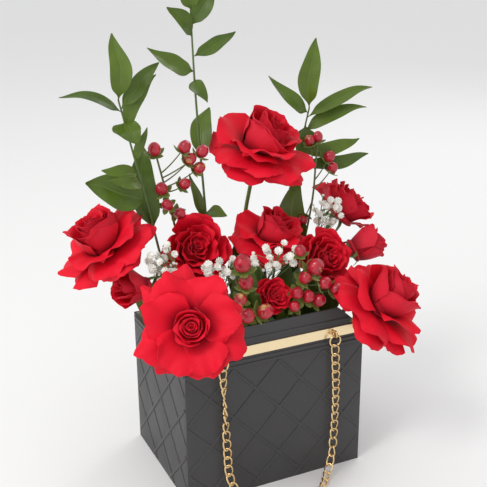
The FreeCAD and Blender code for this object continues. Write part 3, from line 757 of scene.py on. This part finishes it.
# ---- leaves ---------------------------------------------------------------------------------------
def leaf_object(template, name, base, tip, width, rng):
    """A pointed leaf, folded along its midrib, bowed and a little twisted."""
    flat = points_of(template.data)
    u, v = flat[:, 0], (flat[:, 1] + 1) / 2
    run = tip - base
    length = run.length
    ahead = run.normalized()
    facing = LEAF_FACING.normalized()
    across = ahead.cross(facing).normalized()
    if across.length < 0.1:
        across = Vector((1, 0, 0))
    normal = across.cross(ahead).normalized()
    if normal.dot(facing) < 0:
        normal, across = -normal, -across
    shape = np.sin(np.pi * np.clip(v, 0, 1) ** 0.88) ** 0.82
    shape = np.maximum(shape * np.clip((v - LEAF_STALK) / 0.12, 0, 1) ** 0.5, 0.05)
    side = u * width * 0.56 * shape
    fold = 0.16 * width * np.abs(u) * shape
    bow = length * rng.uniform(0.04, 0.17) * np.sin(np.pi * v)
    sickle = length * rng.uniform(-0.10, 0.10) * np.sin(np.pi * v)
    sickle = sickle + 0.02 * length * np.sin(v * 9 + rng.uniform(0, 6)) * v
    edge = 0.04 * width * np.sin(v * 15 + rng.uniform(0, 6)) * np.abs(u) ** 2
    twist = np.radians(rng.uniform(-24, 24) + rng.uniform(-45, 45) * v)
    lateral = side * np.cos(twist) + sickle
    lift = bow + fold + edge + side * np.sin(twist)
    points = np.outer(v * length, ahead) + np.outer(lateral, across) + np.outer(lift, normal)
    made = copy_of(template, name)
    set_points(made.data, points + np.array(base))
    set_tone(made.data, rng.uniform(0, 1))
    return made


def branch(name, template, data, seed, looks):
    """A ruscus branch: a thin stem that narrows upwards, with its leaves.

    The looks are those of the leaf's face, its underside and the stem.
    """
    rng = random.Random(seed)
    stem_points = [mm(*p) for p in data["stem"]]
    leaves = []
    for share, tip, width in data["leaves"]:
        base = mm(*along_line(data["stem"], share))
        leaves.append(leaf_object(template, name + "_leaf", base, mm(*tip), width * MILLI, rng))
    blades = joined(leaves, name)
    paint(blades, *looks)
    modify(blades, "SOLIDIFY", thickness=LEAF_THICK * MILLI, offset=0.0, material_offset=1)
    stem = tube(name + "_stem", stem_points, BRANCH_RADIUS * MILLI, 0.55)
    paint(stem, *looks, index=2)
    made = joined([blades, stem], name)
    smooth(made, 60)
    return made


# ---- operators ------------------------------------------------------------------------------------
class BoxLook(bpy.types.PropertyGroup):
    """Colours of the card box and its metal."""

    card: bpy.props.FloatVectorProperty(
        name="Card", description="Colour of the black card",
        subtype="COLOR", size=3, min=0, max=1,
        default=(0.034, 0.033, 0.034))
    card_light: bpy.props.FloatVectorProperty(
        name="Card, worn", description="Lighter tone in the black card",
        subtype="COLOR", size=3, min=0, max=1,
        default=(0.050, 0.049, 0.051))
    gold: bpy.props.FloatVectorProperty(
        name="Gold", description="Colour of the bar and the chain",
        subtype="COLOR", size=3, min=0, max=1,
        default=(0.93, 0.76, 0.48))
    gold_deep: bpy.props.FloatVectorProperty(
        name="Gold, deep", description="Darker tone of the gold",
        subtype="COLOR", size=3, min=0, max=1,
        default=(0.80, 0.58, 0.30))
    tray: bpy.props.FloatVectorProperty(
        name="Tray", description="Colour of the plastic tray",
        subtype="COLOR", size=3, min=0, max=1,
        default=(0.03, 0.035, 0.032))
    foam: bpy.props.FloatVectorProperty(
        name="Foam", description="Colour of the wet foam",
        subtype="COLOR", size=3, min=0, max=1,
        default=(0.06, 0.15, 0.055))


class FlowerLook(bpy.types.PropertyGroup):
    """Colours of the plants."""

    # the heart colour is painted shade at the foot of each petal, deep in the bloom, and it also tints the
    # veins
    heart: bpy.props.FloatVectorProperty(
        name="Rose heart", description="Dark red at the foot of a petal",
        subtype="COLOR", size=3, min=0, max=1,
        default=(0.18, 0.002, 0.010))
    petal: bpy.props.FloatVectorProperty(
        name="Rose petal", description="Red of a petal's face",
        subtype="COLOR", size=3, min=0, max=1,
        default=(0.80, 0.005, 0.026))
    petal_edge: bpy.props.FloatVectorProperty(
        name="Petal edge", description="Red at a petal's margin",
        subtype="COLOR", size=3, min=0, max=1,
        default=(0.70, 0.006, 0.024))
    petal_back: bpy.props.FloatVectorProperty(
        name="Petal back", description="Duller red of a petal's back",
        subtype="COLOR", size=3, min=0, max=1,
        default=(0.68, 0.018, 0.042))
    leaf: bpy.props.FloatVectorProperty(
        name="Leaf", description="Dark green of the leaves",
        subtype="COLOR", size=3, min=0, max=1,
        default=(0.030, 0.066, 0.004))
    leaf_light: bpy.props.FloatVectorProperty(
        name="Leaf, light", description="Light green of the leaves",
        subtype="COLOR", size=3, min=0, max=1,
        default=(0.105, 0.170, 0.012))
    berry: bpy.props.FloatVectorProperty(
        name="Berry", description="Red of a ripe berry",
        subtype="COLOR", size=3, min=0, max=1,
        default=(0.52, 0.008, 0.030))
    floret: bpy.props.FloatVectorProperty(
        name="Floret", description="White of the gypsophila",
        subtype="COLOR", size=3, min=0, max=1,
        default=(0.95, 0.95, 0.93))


class StageLook(bpy.types.PropertyGroup):
    """Floor, lights and lens."""

    lens: bpy.props.FloatProperty(
        name="Lens", description="Focal length", unit="CAMERA", default=CAMERA_LENS, min=10)
    key_power: bpy.props.FloatProperty(
        name="Key light", description="Power of the high light on the left", unit="POWER", default=17, min=0)
    fill_power: bpy.props.FloatProperty(
        name="Fill light", description="Power of the low light on the left", unit="POWER", default=9, min=0)
    back_power: bpy.props.FloatProperty(
        name="Back light", description="Power of the light at the back on the right",
        unit="POWER", default=5, min=0)
    world: bpy.props.FloatProperty(
        name="Surround", description="Strength of the pale surround", default=0.81, min=0)
    floor: bpy.props.FloatVectorProperty(
        name="Floor", description="Colour of the floor",
        subtype="COLOR", size=3, min=0, max=1,
        default=(0.89, 0.89, 0.89))


class FLOWERBOX_OT_stage(bpy.types.Operator):
    """Make the floor, the lights and the camera"""

    bl_idname = "flowerbox.stage"
    bl_label = "Stage"

    def execute(self, context):
        look = context.scene.flower_stage
        yaw, pitch, roll = (math.radians(a) for a in (CAMERA_YAW, CAMERA_PITCH, CAMERA_ROLL))
        ahead = Vector((math.sin(yaw) * math.cos(pitch), math.cos(yaw) * math.cos(pitch), -math.sin(pitch)))
        right = Vector((math.cos(yaw), -math.sin(yaw), 0))
        up = right.cross(ahead)
        right, up = right * math.cos(roll) + up * math.sin(roll), up * math.cos(roll) - right * math.sin(roll)
        lens = bpy.data.cameras.new("camera")
        lens.lens = look.lens
        lens.sensor_width = SENSOR_WIDTH
        lens.clip_start = 0.01
        camera = bpy.data.objects.new("camera", lens)
        facing = Matrix((right, up, -ahead)).transposed().to_4x4()
        camera.matrix_world = Matrix.Translation(mm(*CAMERA_PLACE)) @ facing
        context.scene.collection.objects.link(camera)
        context.scene.camera = camera

        clear_selection()
        bpy.ops.mesh.primitive_plane_add(size=FLOOR_SIDE, location=(0, 0, 0))
        floor = context.object
        floor.name = "floor"
        f = Finish("floor")
        speck = f.noise(f.place(), 18, 3)
        tone = f.mix(speck * 0.08, tuple(look.floor), FLOOR_SPECK)
        floor.data.materials.append(f.surface(base_color=tone, roughness=0.7, specular_ior_level=0.2))

        for name, place, target, size, power, warmth in (
                ("key", (-1.5, -0.6, 2.1), (0, 0, 0.2), 0.8, look.key_power, (1.0, 0.99, 0.97)),
                ("fill", (-2.1, -0.8, 0.9), (0, 0, 0.2), 1.2, look.fill_power, (0.97, 0.98, 1.0)),
                ("back", (1.5, 1.1, 1.5), (0, 0, 0.1), 0.6, look.back_power, (1.0, 1.0, 1.0))):
            light = bpy.data.lights.new(name, "AREA")
            light.shape = "DISK"
            light.size = size
            light.energy = power
            light.color = warmth
            lamp = bpy.data.objects.new(name, light)
            lamp.location = place
            lamp.rotation_euler = (Vector(target) - Vector(place)).to_track_quat("-Z", "Y").to_euler()
            context.scene.collection.objects.link(lamp)
        world = bpy.data.worlds.new("surround")
        world.use_nodes = True
        shade = world.node_tree.nodes["Background"]
        shade.inputs["Color"].default_value = (1.0, 1.0, 1.0, 1.0)
        shade.inputs["Strength"].default_value = look.world
        context.scene.world = world
        context.scene.view_settings.view_transform = "Standard"
        return {"FINISHED"}


def route_line(points):
    """The smooth line of the chain: a curve of one open spline through its route."""
    curve = bpy.data.curves.new("chain_line", "CURVE")
    curve.dimensions = "3D"
    curve.resolution_u = 24
    spline = curve.splines.new("NURBS")
    spline.points.add(len(points) - 1)
    for slot, place in zip(spline.points, points):
        slot.co = (*mm(*place), 1.0)
    spline.order_u = 3
    spline.use_endpoint_u = True
    line = bpy.data.objects.new("chain_line", curve)
    bpy.context.scene.collection.objects.link(line)
    bpy.context.view_layer.update()
    mesh = bpy.data.meshes.new_from_object(line.evaluated_get(bpy.context.evaluated_depsgraph_get()))
    places = [Vector(v.co) for v in mesh.vertices]
    drop(line)
    return places


def chain_link():
    """One curb link: a round wire bent to an oval and twisted, so that the chain lies flat."""
    clear_selection()
    bpy.ops.mesh.primitive_torus_add(major_segments=36, minor_segments=12, major_radius=1.0,
                                     minor_radius=LINK_WIRE / 2, generate_uvs=True)
    link = bpy.context.object
    wire = LINK_WIRE / 2
    half_x = LINK_WIDTH / 2 - wire
    half_z = (LINK_PITCH + LINK_WIRE) / 2
    points = points_of(link.data)
    angle = np.arctan2(points[:, 1], points[:, 0])
    ring = np.hypot(points[:, 0], points[:, 1]) - 1.0
    square = LINK_SQUARENESS
    c, s = np.cos(angle), np.sin(angle)
    size = (np.abs(c) ** square + np.abs(s) ** square) ** (-1 / square)
    x, z = (half_x * size + ring) * c, (half_z * size + ring) * s
    y = points[:, 2]
    twist = np.radians(LINK_TWIST) * np.clip(z / half_z, -1, 1)
    set_points(link.data, np.stack([x * np.cos(twist) - y * np.sin(twist),
                                    x * np.sin(twist) + y * np.cos(twist), z], 1) * MILLI)
    return link


class FLOWERBOX_OT_chain(bpy.types.Operator):
    """Make the chain handle, link by link along its line"""

    bl_idname = "flowerbox.chain"
    bl_label = "Chain"

    def execute(self, context):
        look = context.scene.flower_box
        gold = gold_finish("chain_gold", tuple(look.gold_deep), shaded(look.gold_deep, 0.75), False)
        line = route_line(CHAIN_ROUTE)
        gaps = [(b - a).length for a, b in zip(line, line[1:])]
        total = sum(gaps)
        count = round(total / (LINK_PITCH * MILLI))
        link = chain_link()
        links = []
        for k in range(count):
            share = (k + 0.5) / count
            middle = along_line(line, share)
            before = along_line(line, max(0, share - 0.004))
            ahead = (along_line(line, min(1, share + 0.004)) - before).normalized()
            side = ahead.cross(CHAIN_FACING).normalized()
            front = side.cross(ahead).normalized()
            roll = CHAIN_SWAY[0] * math.sin(share * CHAIN_SWAY[1]) + sum(
                turn * math.exp(-((share - place) / reach) ** 2) for turn, place, reach in CHAIN_TURNS)
            spin = Matrix((side, front, ahead)).transposed() @ Matrix.Rotation(math.radians(roll), 3, "Z")
            piece = copy_of(link, "link")
            set_points(piece.data, np.array(middle) + points_of(link.data) @ np.array(spin).T)
            links.append(piece)
        drop(link)
        chain = joined(links, "chain_links")
        paint(chain, gold)
        smooth(chain, 60)
        settle(chain, "chain_handle", "chain")
        return {"FINISHED"}


def band_ends(half, crown):
    """Both ends of every raised band on a wall, as (u, z): the diagonals and the level borders."""
    slope = QUILT_PITCH_X / QUILT_PITCH_Z
    reach = half - BAND_WIDTH / 2
    low, high = BAND_WIDTH / 2, QUILT_TOP
    bands = [((-half, z), (half, z)) for z in BORDER_HEIGHTS]
    if crown:
        bands.append(((-RIM_RIDGE_HALF, RIM_RIDGE_HEIGHT), (RIM_RIDGE_HALF, RIM_RIDGE_HEIGHT)))
    for sign in (1, -1):
        for k in range(-8, 9):
            node = QUILT_NODE[0] + k * QUILT_PITCH_X
            heights = sorted(QUILT_NODE[1] + sign * (edge - node) / slope for edge in (-reach, reach))
            za, zb = max(low, heights[0]), min(high, heights[1])
            if zb - za > 4:
                bands.append(tuple((node + sign * slope * (z - QUILT_NODE[1]), z) for z in (za, zb)))
    return bands


def quilted_panel(name, half, top, place, finishes):
    """A wall of pressed card with raised bands and slightly swelling diamonds.

    place(u, z, out) gives its points, from along the wall, up it and out of it.
    """
    panel = grid_template(name, *PANEL_CELLS)
    flat = points_of(panel.data)
    u = flat[:, 0] * half
    z = (flat[:, 1] + 1) / 2 * top(np.abs(u))
    a = (z - QUILT_NODE[1]) / QUILT_PITCH_Z + (u - QUILT_NODE[0]) / QUILT_PITCH_X
    b = (z - QUILT_NODE[1]) / QUILT_PITCH_Z - (u - QUILT_NODE[0]) / QUILT_PITCH_X
    pad = np.abs(np.sin(np.pi * a) * np.sin(np.pi * b))
    inside = np.clip((half - np.abs(u)) / 4, 0, 1) * np.clip((QUILT_TOP - z) / 3, 0, 1) * np.clip(z / 3, 0, 1)
    set_points(panel.data, place(u, z, CUSHION * pad * inside) * MILLI)
    for finish in finishes:
        panel.data.materials.append(finish)
    modify(panel, "SOLIDIFY", thickness=BOARD * MILLI, offset=-1.0, material_offset=1, material_offset_rim=0)
    parts = [panel]
    for start, end in band_ends(half, top is front_top):
        step = BAND_STEP * np.sign((end[0] - start[0]) * (end[1] - start[1]))
        clear_selection()
        bpy.ops.mesh.primitive_cube_add(size=1)
        band = bpy.context.object
        band.data.materials.append(finishes[0])
        run = np.array(end) - np.array(start)
        length = np.hypot(*run)
        along, across = run / length, np.array((-run[1], run[0])) / length
        box = points_of(band.data)
        height = box[:, 2] * 2 * (BAND_HEIGHT + step)
        scaled = np.stack([box[:, 0] * length, box[:, 1] * BAND_WIDTH, height], 1)
        set_points(band.data, scaled * MILLI)
        modify(band, "BEVEL", width=BAND_HEIGHT * 0.85 * MILLI, segments=4)
        box = points_of(band.data) / MILLI
        flat_place = (np.array(start) + np.array(end)) / 2 + np.outer(box[:, 0], along)
        flat_place = flat_place + np.outer(box[:, 1], across)
        set_points(band.data, place(flat_place[:, 0], flat_place[:, 1], box[:, 2]) * MILLI)
        parts.append(band)
    wall = joined(parts, name)
    smooth(wall, 35)
    return wall


def front_top(reach):
    """Height of the front wall: shoulders, slopes and the raised rim."""
    share = np.clip((RIM_HALF_FOOT - reach) / (RIM_HALF_FOOT - RIM_HALF_TOP), 0, 1)
    return RIM_SHOULDER + (RIM_HEIGHT - RIM_SHOULDER) * share


def side_top(reach):
    """Height of a side wall: a shallow dip between its corners."""
    share = np.clip((DEPTH / 2 - BOARD - reach) / SIDE_DIP_RUN, 0, 1)
    return WALL_HEIGHT - SIDE_DIP * share


class FLOWERBOX_OT_card_box(bpy.types.Operator):
    """Make the quilted card walls and finish the bar, the studs and the rings"""

    bl_idname = "flowerbox.card_box"
    bl_label = "Card box and metal"

    def execute(self, context):
        look = context.scene.flower_box
        card = card_finish("black_card", tuple(look.card), tuple(look.card_light))
        bar = gold_finish("bar_gold", tuple(look.gold), tuple(look.gold_deep), True)
        ring = gold_finish("ring_gold", tuple(look.gold_deep), shaded(look.gold_deep, 0.75), False)
        lining = lining_finish("card_lining", (0.72, 0.69, 0.62))
        half_y = DEPTH / 2 - BOARD
        walls = (
            ("front", WIDTH / 2, front_top, lambda u, z, out: np.stack([u, -DEPTH / 2 - out, z], 1)),
            ("back", WIDTH / 2, lambda reach: WALL_HEIGHT + 0 * reach,
             lambda u, z, out: np.stack([-u, DEPTH / 2 + out, z], 1)),
            ("left", half_y, side_top, lambda u, z, out: np.stack([-WIDTH / 2 - out, -u, z], 1)),
            ("right", half_y, side_top, lambda u, z, out: np.stack([WIDTH / 2 + out, u, z], 1)),
        )
        for name, half, top, place in walls:
            wall = quilted_panel(name + "_wall", half, top, place, (card, lining))
            settle(wall, "box", name + "_panel")
        for name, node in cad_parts.items():
            if name == "base_panel":
                paint(node, card)
            elif name == "gold_bar":
                paint(node, bar)
            elif name.startswith(("eye_", "stud_", "jump_")):
                paint(node, ring)
        return {"FINISHED"}


def foam_piece(finish):
    """A cut block of foam with worn edges and a crumbling surface."""
    clear_selection()
    bpy.ops.mesh.primitive_cube_add(size=1, calc_uvs=True)
    block = bpy.context.object
    size = np.array((2 * FOAM_HALF_X, 2 * FOAM_HALF_Y, FOAM_TOP - FOAM_FOOT))
    middle = np.array((0, 0, (FOAM_TOP + FOAM_FOOT) / 2))
    set_points(block.data, (points_of(block.data) * size + middle) * MILLI)
    modify(block, "BEVEL", width=FOAM_EDGE * MILLI, segments=2)
    modify(block, "REMESH", mode="VOXEL", voxel_size=FOAM_VOXEL * MILLI)
    crumb = bpy.data.textures.new("crumb", "CLOUDS")
    crumb.noise_scale = 0.006
    crumb.noise_depth = 3
    modify(block, "DISPLACE", texture=crumb, strength=FOAM_CRUMB * MILLI, mid_level=0.9)
    made = joined([block], "foam_piece")
    paint(made, finish)
    smooth(made, 30)
    return made


class FLOWERBOX_OT_tray_and_foam(bpy.types.Operator):
    """Finish the water tray and make the foam"""

    bl_idname = "flowerbox.tray_and_foam"
    bl_label = "Tray and foam"

    def execute(self, context):
        look = context.scene.flower_box
        paint(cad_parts["water_tray"], tray_finish("tray_plastic", tuple(look.tray)))
        foam = tuple(look.foam)
        block = foam_piece(foam_finish("wet_foam", foam, shaded(foam, 0.5)))
        settle(block, "arrangement", "foam_block")
        return {"FINISHED"}


class FLOWERBOX_OT_roses(bpy.types.Operator):
    """Make the roses and their stems"""

    bl_idname = "flowerbox.roses"
    bl_label = "Roses"

    def execute(self, context):
        look = context.scene.flower_plants
        heart, reverse = tuple(look.heart), tuple(look.petal_back)
        face = petal_finish("petal_face", heart, tuple(look.petal), tuple(look.petal_edge), False)
        back = petal_finish("petal_back", heart, reverse, reverse, True)
        green = stem_finish("rose_green", (0.10, 0.19, 0.035), (0.14, 0.07, 0.03))
        template = grid_template("petal_template", *PETAL_GRID)
        sepal = grid_template("sepal_template", 4, 10)
        for k, (name, data) in enumerate(ROSES.items()):
            bloom = rose_bloom("bloom_" + name, template, data, ROSE_SEED + k, (back, face))
            settle(bloom, "arrangement", "rose_" + name)
            stem = rose_stem("cane_" + name, sepal, data, STEM_SEED + k, green)
            settle(stem, "arrangement", "stem_" + name)
        drop(template)
        drop(sepal)
        return {"FINISHED"}


class FLOWERBOX_OT_foliage(bpy.types.Operator):
    """Make the tall branches and the low leaves"""

    bl_idname = "flowerbox.foliage"
    bl_label = "Foliage"

    def execute(self, context):
        look = context.scene.flower_plants
        light = tuple(look.leaf_light)
        looks = (leaf_finish("leaf", tuple(look.leaf), light, (0.16, 0.22, 0.06)),
                 leaf_finish("leaf_underside", light, (0.17, 0.24, 0.07), (0.24, 0.30, 0.12)),
                 stem_finish("twig", (0.09, 0.15, 0.04), (0.10, 0.07, 0.03)))
        template = grid_template("leaf_template", 10, 24)
        for k, (name, data) in enumerate(FOLIAGE.items()):
            made = branch(name + "_leaves", template, data, BRANCH_SEED + k, looks)
            settle(made, "arrangement", name)
        rng = random.Random(LOW_LEAF_SEED)
        parts = []
        for foot, tip, width in LOW_LEAVES + FILLER_LEAVES:
            start = mm(*foot, STEM_FOOT)
            neck = start.lerp(mm(*tip), LOW_LEAF_STALK)
            blade = leaf_object(template, "low_leaf", neck, mm(*tip), width * MILLI, rng)
            paint(blade, *looks)
            modify(blade, "SOLIDIFY", thickness=LEAF_THICK * MILLI, offset=0.0, material_offset=1)
            route = [start, start.lerp(neck, 0.5), neck.lerp(mm(*tip), 0.1)]
            stalk = tube("low_stalk", route, STALK_RADIUS * MILLI, 0.7)
            paint(stalk, *looks, index=2)
            parts += [blade, stalk]
        low = joined(parts, "low_leaves_blades")
        smooth(low, 60)
        settle(low, "arrangement", "low_leaves")
        drop(template)
        return {"FINISHED"}


def spray_lines(foot, fork, ends):
    """The leading twig and the side twigs of a spray, in metres."""
    ends = sorted(ends, key=lambda p: p[2])
    root, split, tip = mm(*foot), mm(*fork), mm(*ends[-1])
    lines = [[root, root.lerp(split, 0.7), split, split.lerp(tip, 0.5), tip]]
    for k, end in enumerate(ends[:-1]):
        start = split.lerp(tip, 0.75 * k / len(ends))
        middle = start.lerp(mm(*end), 0.5) + Vector((0, 0, -0.004))
        lines.append([start, middle, mm(*end)])
    return ends, lines


def berry_template(bract):
    """A berry with a dimpled tip and its bracts, standing on +Z with its foot at the origin."""
    clear_selection()
    bpy.ops.mesh.primitive_uv_sphere_add(segments=24, ring_count=16, radius=1)
    fruit = bpy.context.object
    points = points_of(fruit.data)
    z = points[:, 2]
    ribs = 1 + 0.02 * np.cos(3 * np.arctan2(points[:, 1], points[:, 0])) * (1 - z ** 2)
    points[:, 0] *= ribs * (1 - 0.10 * z)
    points[:, 1] *= ribs * (1 - 0.10 * z)
    points[:, 2] = z * 1.12 - 0.18 * np.clip((z - 0.86) / 0.14, 0, 1) ** 2
    set_points(fruit.data, points)
    clear_selection()
    bpy.ops.mesh.primitive_cone_add(vertices=8, radius1=0.10, radius2=0.03, depth=0.35,
                                    location=(0, 0, 1.08))
    style = bpy.context.object
    bracts = []
    flat = points_of(bract.data)
    u, v = flat[:, 0], (flat[:, 1] + 1) / 2
    for k in range(5):
        angle = 2 * math.pi * k / 5
        out = 0.15 + 1.55 * v
        up = -1.12 - 0.25 * v + 0.75 * v ** 2
        side = u * 0.52 * np.sin(np.pi * np.clip(0.12 + 0.88 * v, 0, 1)) ** 0.7
        piece = copy_of(bract, "bract")
        set_points(piece.data, set_round(out, side, up, angle))
        bracts.append(piece)
    leaves = joined(bracts, "bracts")
    modify(leaves, "SOLIDIFY", thickness=0.07, offset=0.0)
    return fruit, style, leaves


class FLOWERBOX_OT_berries(bpy.types.Operator):
    """Make the berry sprays"""

    bl_idname = "flowerbox.berries"
    bl_label = "Berries"

    def execute(self, context):
        look = context.scene.flower_plants
        ripe = berry_finish("berry", tuple(look.berry), (0.72, 0.45, 0.16), shaded(look.berry, 0.6))
        green = leaf_finish("bract", (0.12, 0.19, 0.03), (0.30, 0.36, 0.09), (0.34, 0.38, 0.12))
        twig = stem_finish("berry_twig", (0.11, 0.13, 0.04), (0.16, 0.06, 0.03))
        grid = grid_template("bract_template", 4, 6)
        fruit, style, leaves = berry_template(grid)
        for n, (name, (foot, fork, ends)) in enumerate(BERRIES.items()):
            rng = random.Random(BERRY_SEED + n)
            radii = {place: radius for place, radius in ends}
            order, lines = spray_lines(foot, fork, [place for place, _ in ends])
            parts = [tube("twig", line, BERRY_TWIG_RADII[min(k, 1)] * MILLI, 0.7)
                     for k, line in enumerate(lines)]
            for part in parts:
                paint(part, ripe, green, twig, index=2)
                set_tone(part.data, 0.5)
            for place in order:
                line = lines[0] if place == order[-1] else lines[1 + order.index(place)]
                lean = Vector((rng.uniform(-.3, .3), rng.uniform(-.7, -.1), rng.uniform(-.1, .3)))
                ahead = ((line[-1] - line[-2]).normalized() + lean).normalized()
                spin = np.array(axis_frame(ahead, rng.uniform(0, 360)))
                tone = rng.uniform(0, 1)
                for source, index in ((fruit, 0), (style, 2), (leaves, 1)):
                    piece = copy_of(source, "fruit")
                    grown = points_of(source.data) * radii[place] * BERRY_SWELL * MILLI
                    set_points(piece.data, np.array(mm(*place)) + grown @ spin.T)
                    paint(piece, ripe, green, twig, index=index)
                    set_tone(piece.data, tone)
                    parts.append(piece)
            made = joined(parts, name + "_spray")
            smooth(made, 60)
            settle(made, "arrangement", name)
        for source in (grid, fruit, style, leaves):
            drop(source)
        return {"FINISHED"}


def floret_template():
    """A double gypsophila flower: small notched petals in three rings about the origin."""
    grid = grid_template("floret_grid", 2, 3)
    flat = points_of(grid.data)
    u, v = flat[:, 0], (flat[:, 1] + 1) / 2
    petals = []
    for ring, (count, lean, long) in enumerate(((5, 78, 1.0), (5, 52, 0.95), (4, 22, 0.8))):
        for k in range(count):
            angle = 2 * math.pi * (k + 0.5 * ring) / count
            notch = 1 - 0.12 * (1 - np.abs(u)) * v
            slope = np.radians(lean + 18 * v)
            out, up = long * v * notch * np.sin(slope), long * v * notch * np.cos(slope) - 0.15
            side = u * 0.42 * np.clip(0.3 + v, 0, 1.1)
            piece = copy_of(grid, "floret_petal")
            set_points(piece.data, set_round(out, side, up, angle))
            petals.append(piece)
    drop(grid)
    made = joined(petals, "floret")
    modify(made, "SOLIDIFY", thickness=0.09, offset=0.0)
    return made


class FLOWERBOX_OT_gypsophila(bpy.types.Operator):
    """Make the gypsophila"""

    bl_idname = "flowerbox.gypsophila"
    bl_label = "Gypsophila"

    def execute(self, context):
        look = context.scene.flower_plants
        white = floret_finish("floret", tuple(look.floret), (0.80, 0.79, 0.68))
        green = stem_finish("gypsophila_green", (0.16, 0.24, 0.09), (0.20, 0.22, 0.12))
        floret = floret_template()
        for n, (name, (foot, fork, middle, half, count)) in enumerate(GYPSOPHILA.items()):
            rng = random.Random(FLORET_SEED + n)
            ends = []
            for k in range(count):
                height = 1 - 2 * (k + 0.5) / count
                reach = math.sqrt(1 - height ** 2)
                size = rng.uniform(0.5, 1.0)
                ends.append((middle[0] + half[0] * size * reach * math.cos(GOLDEN_TURN * k),
                             middle[1] + half[1] * size * reach * math.sin(GOLDEN_TURN * k),
                             middle[2] + half[2] * size * height))
            order, lines = spray_lines(foot, fork, ends)
            parts = [tube("twig", line, FLORET_TWIG_RADII[min(k, 1)] * MILLI, 0.7, 5)
                     for k, line in enumerate(lines)]
            for part in parts:
                paint(part, white, green, index=1)
            for k, place in enumerate(order):
                size = rng.uniform(3.4, 4.5) if k % 3 else rng.uniform(1.2, 1.8)
                ahead = Vector((rng.uniform(-.7, .4), rng.uniform(-1, -.2), rng.uniform(0, 1))).normalized()
                spin = np.array(axis_frame(ahead, rng.uniform(0, 360)))
                piece = copy_of(floret, "floret_copy")
                set_points(piece.data, np.array(mm(*place)) + points_of(floret.data) * size * MILLI @ spin.T)
                paint(piece, white, green)
                parts.append(piece)
            made = joined(parts, name + "_spray")
            smooth(made, 50)
            settle(made, "arrangement", name)
        drop(floret)
        return {"FINISHED"}


OPERATORS = (FLOWERBOX_OT_stage, FLOWERBOX_OT_chain, FLOWERBOX_OT_card_box, FLOWERBOX_OT_tray_and_foam,
             FLOWERBOX_OT_roses, FLOWERBOX_OT_foliage, FLOWERBOX_OT_berries, FLOWERBOX_OT_gypsophila)


class FLOWERBOX_PT_panel(bpy.types.Panel):
    """Lists the looks and the steps"""

    bl_idname = "FLOWERBOX_PT_panel"
    bl_label = "Flower box"
    bl_space_type = "VIEW_3D"
    bl_region_type = "UI"
    bl_category = "Flower box"

    def draw(self, context):
        for look in (context.scene.flower_box, context.scene.flower_plants, context.scene.flower_stage):
            for name in look.__annotations__:
                self.layout.prop(look, name)
        for operator in OPERATORS:
            self.layout.operator(operator.bl_idname)


CLASSES = (BoxLook, FlowerLook, StageLook, *OPERATORS, FLOWERBOX_PT_panel)


def register():
    for cls in CLASSES:
        bpy.utils.register_class(cls)
    bpy.types.Scene.flower_box = bpy.props.PointerProperty(type=BoxLook)
    bpy.types.Scene.flower_plants = bpy.props.PointerProperty(type=FlowerLook)
    bpy.types.Scene.flower_stage = bpy.props.PointerProperty(type=StageLook)


def unregister():
    del bpy.types.Scene.flower_box, bpy.types.Scene.flower_plants, bpy.types.Scene.flower_stage
    for cls in reversed(CLASSES):
        bpy.utils.unregister_class(cls)


def main():
    """Makes everything in order."""
    register()
    for operator in OPERATORS:
        group, name = operator.bl_idname.split(".")
        getattr(getattr(bpy.ops, group), name)()


if __name__ == "__main__":
    main()
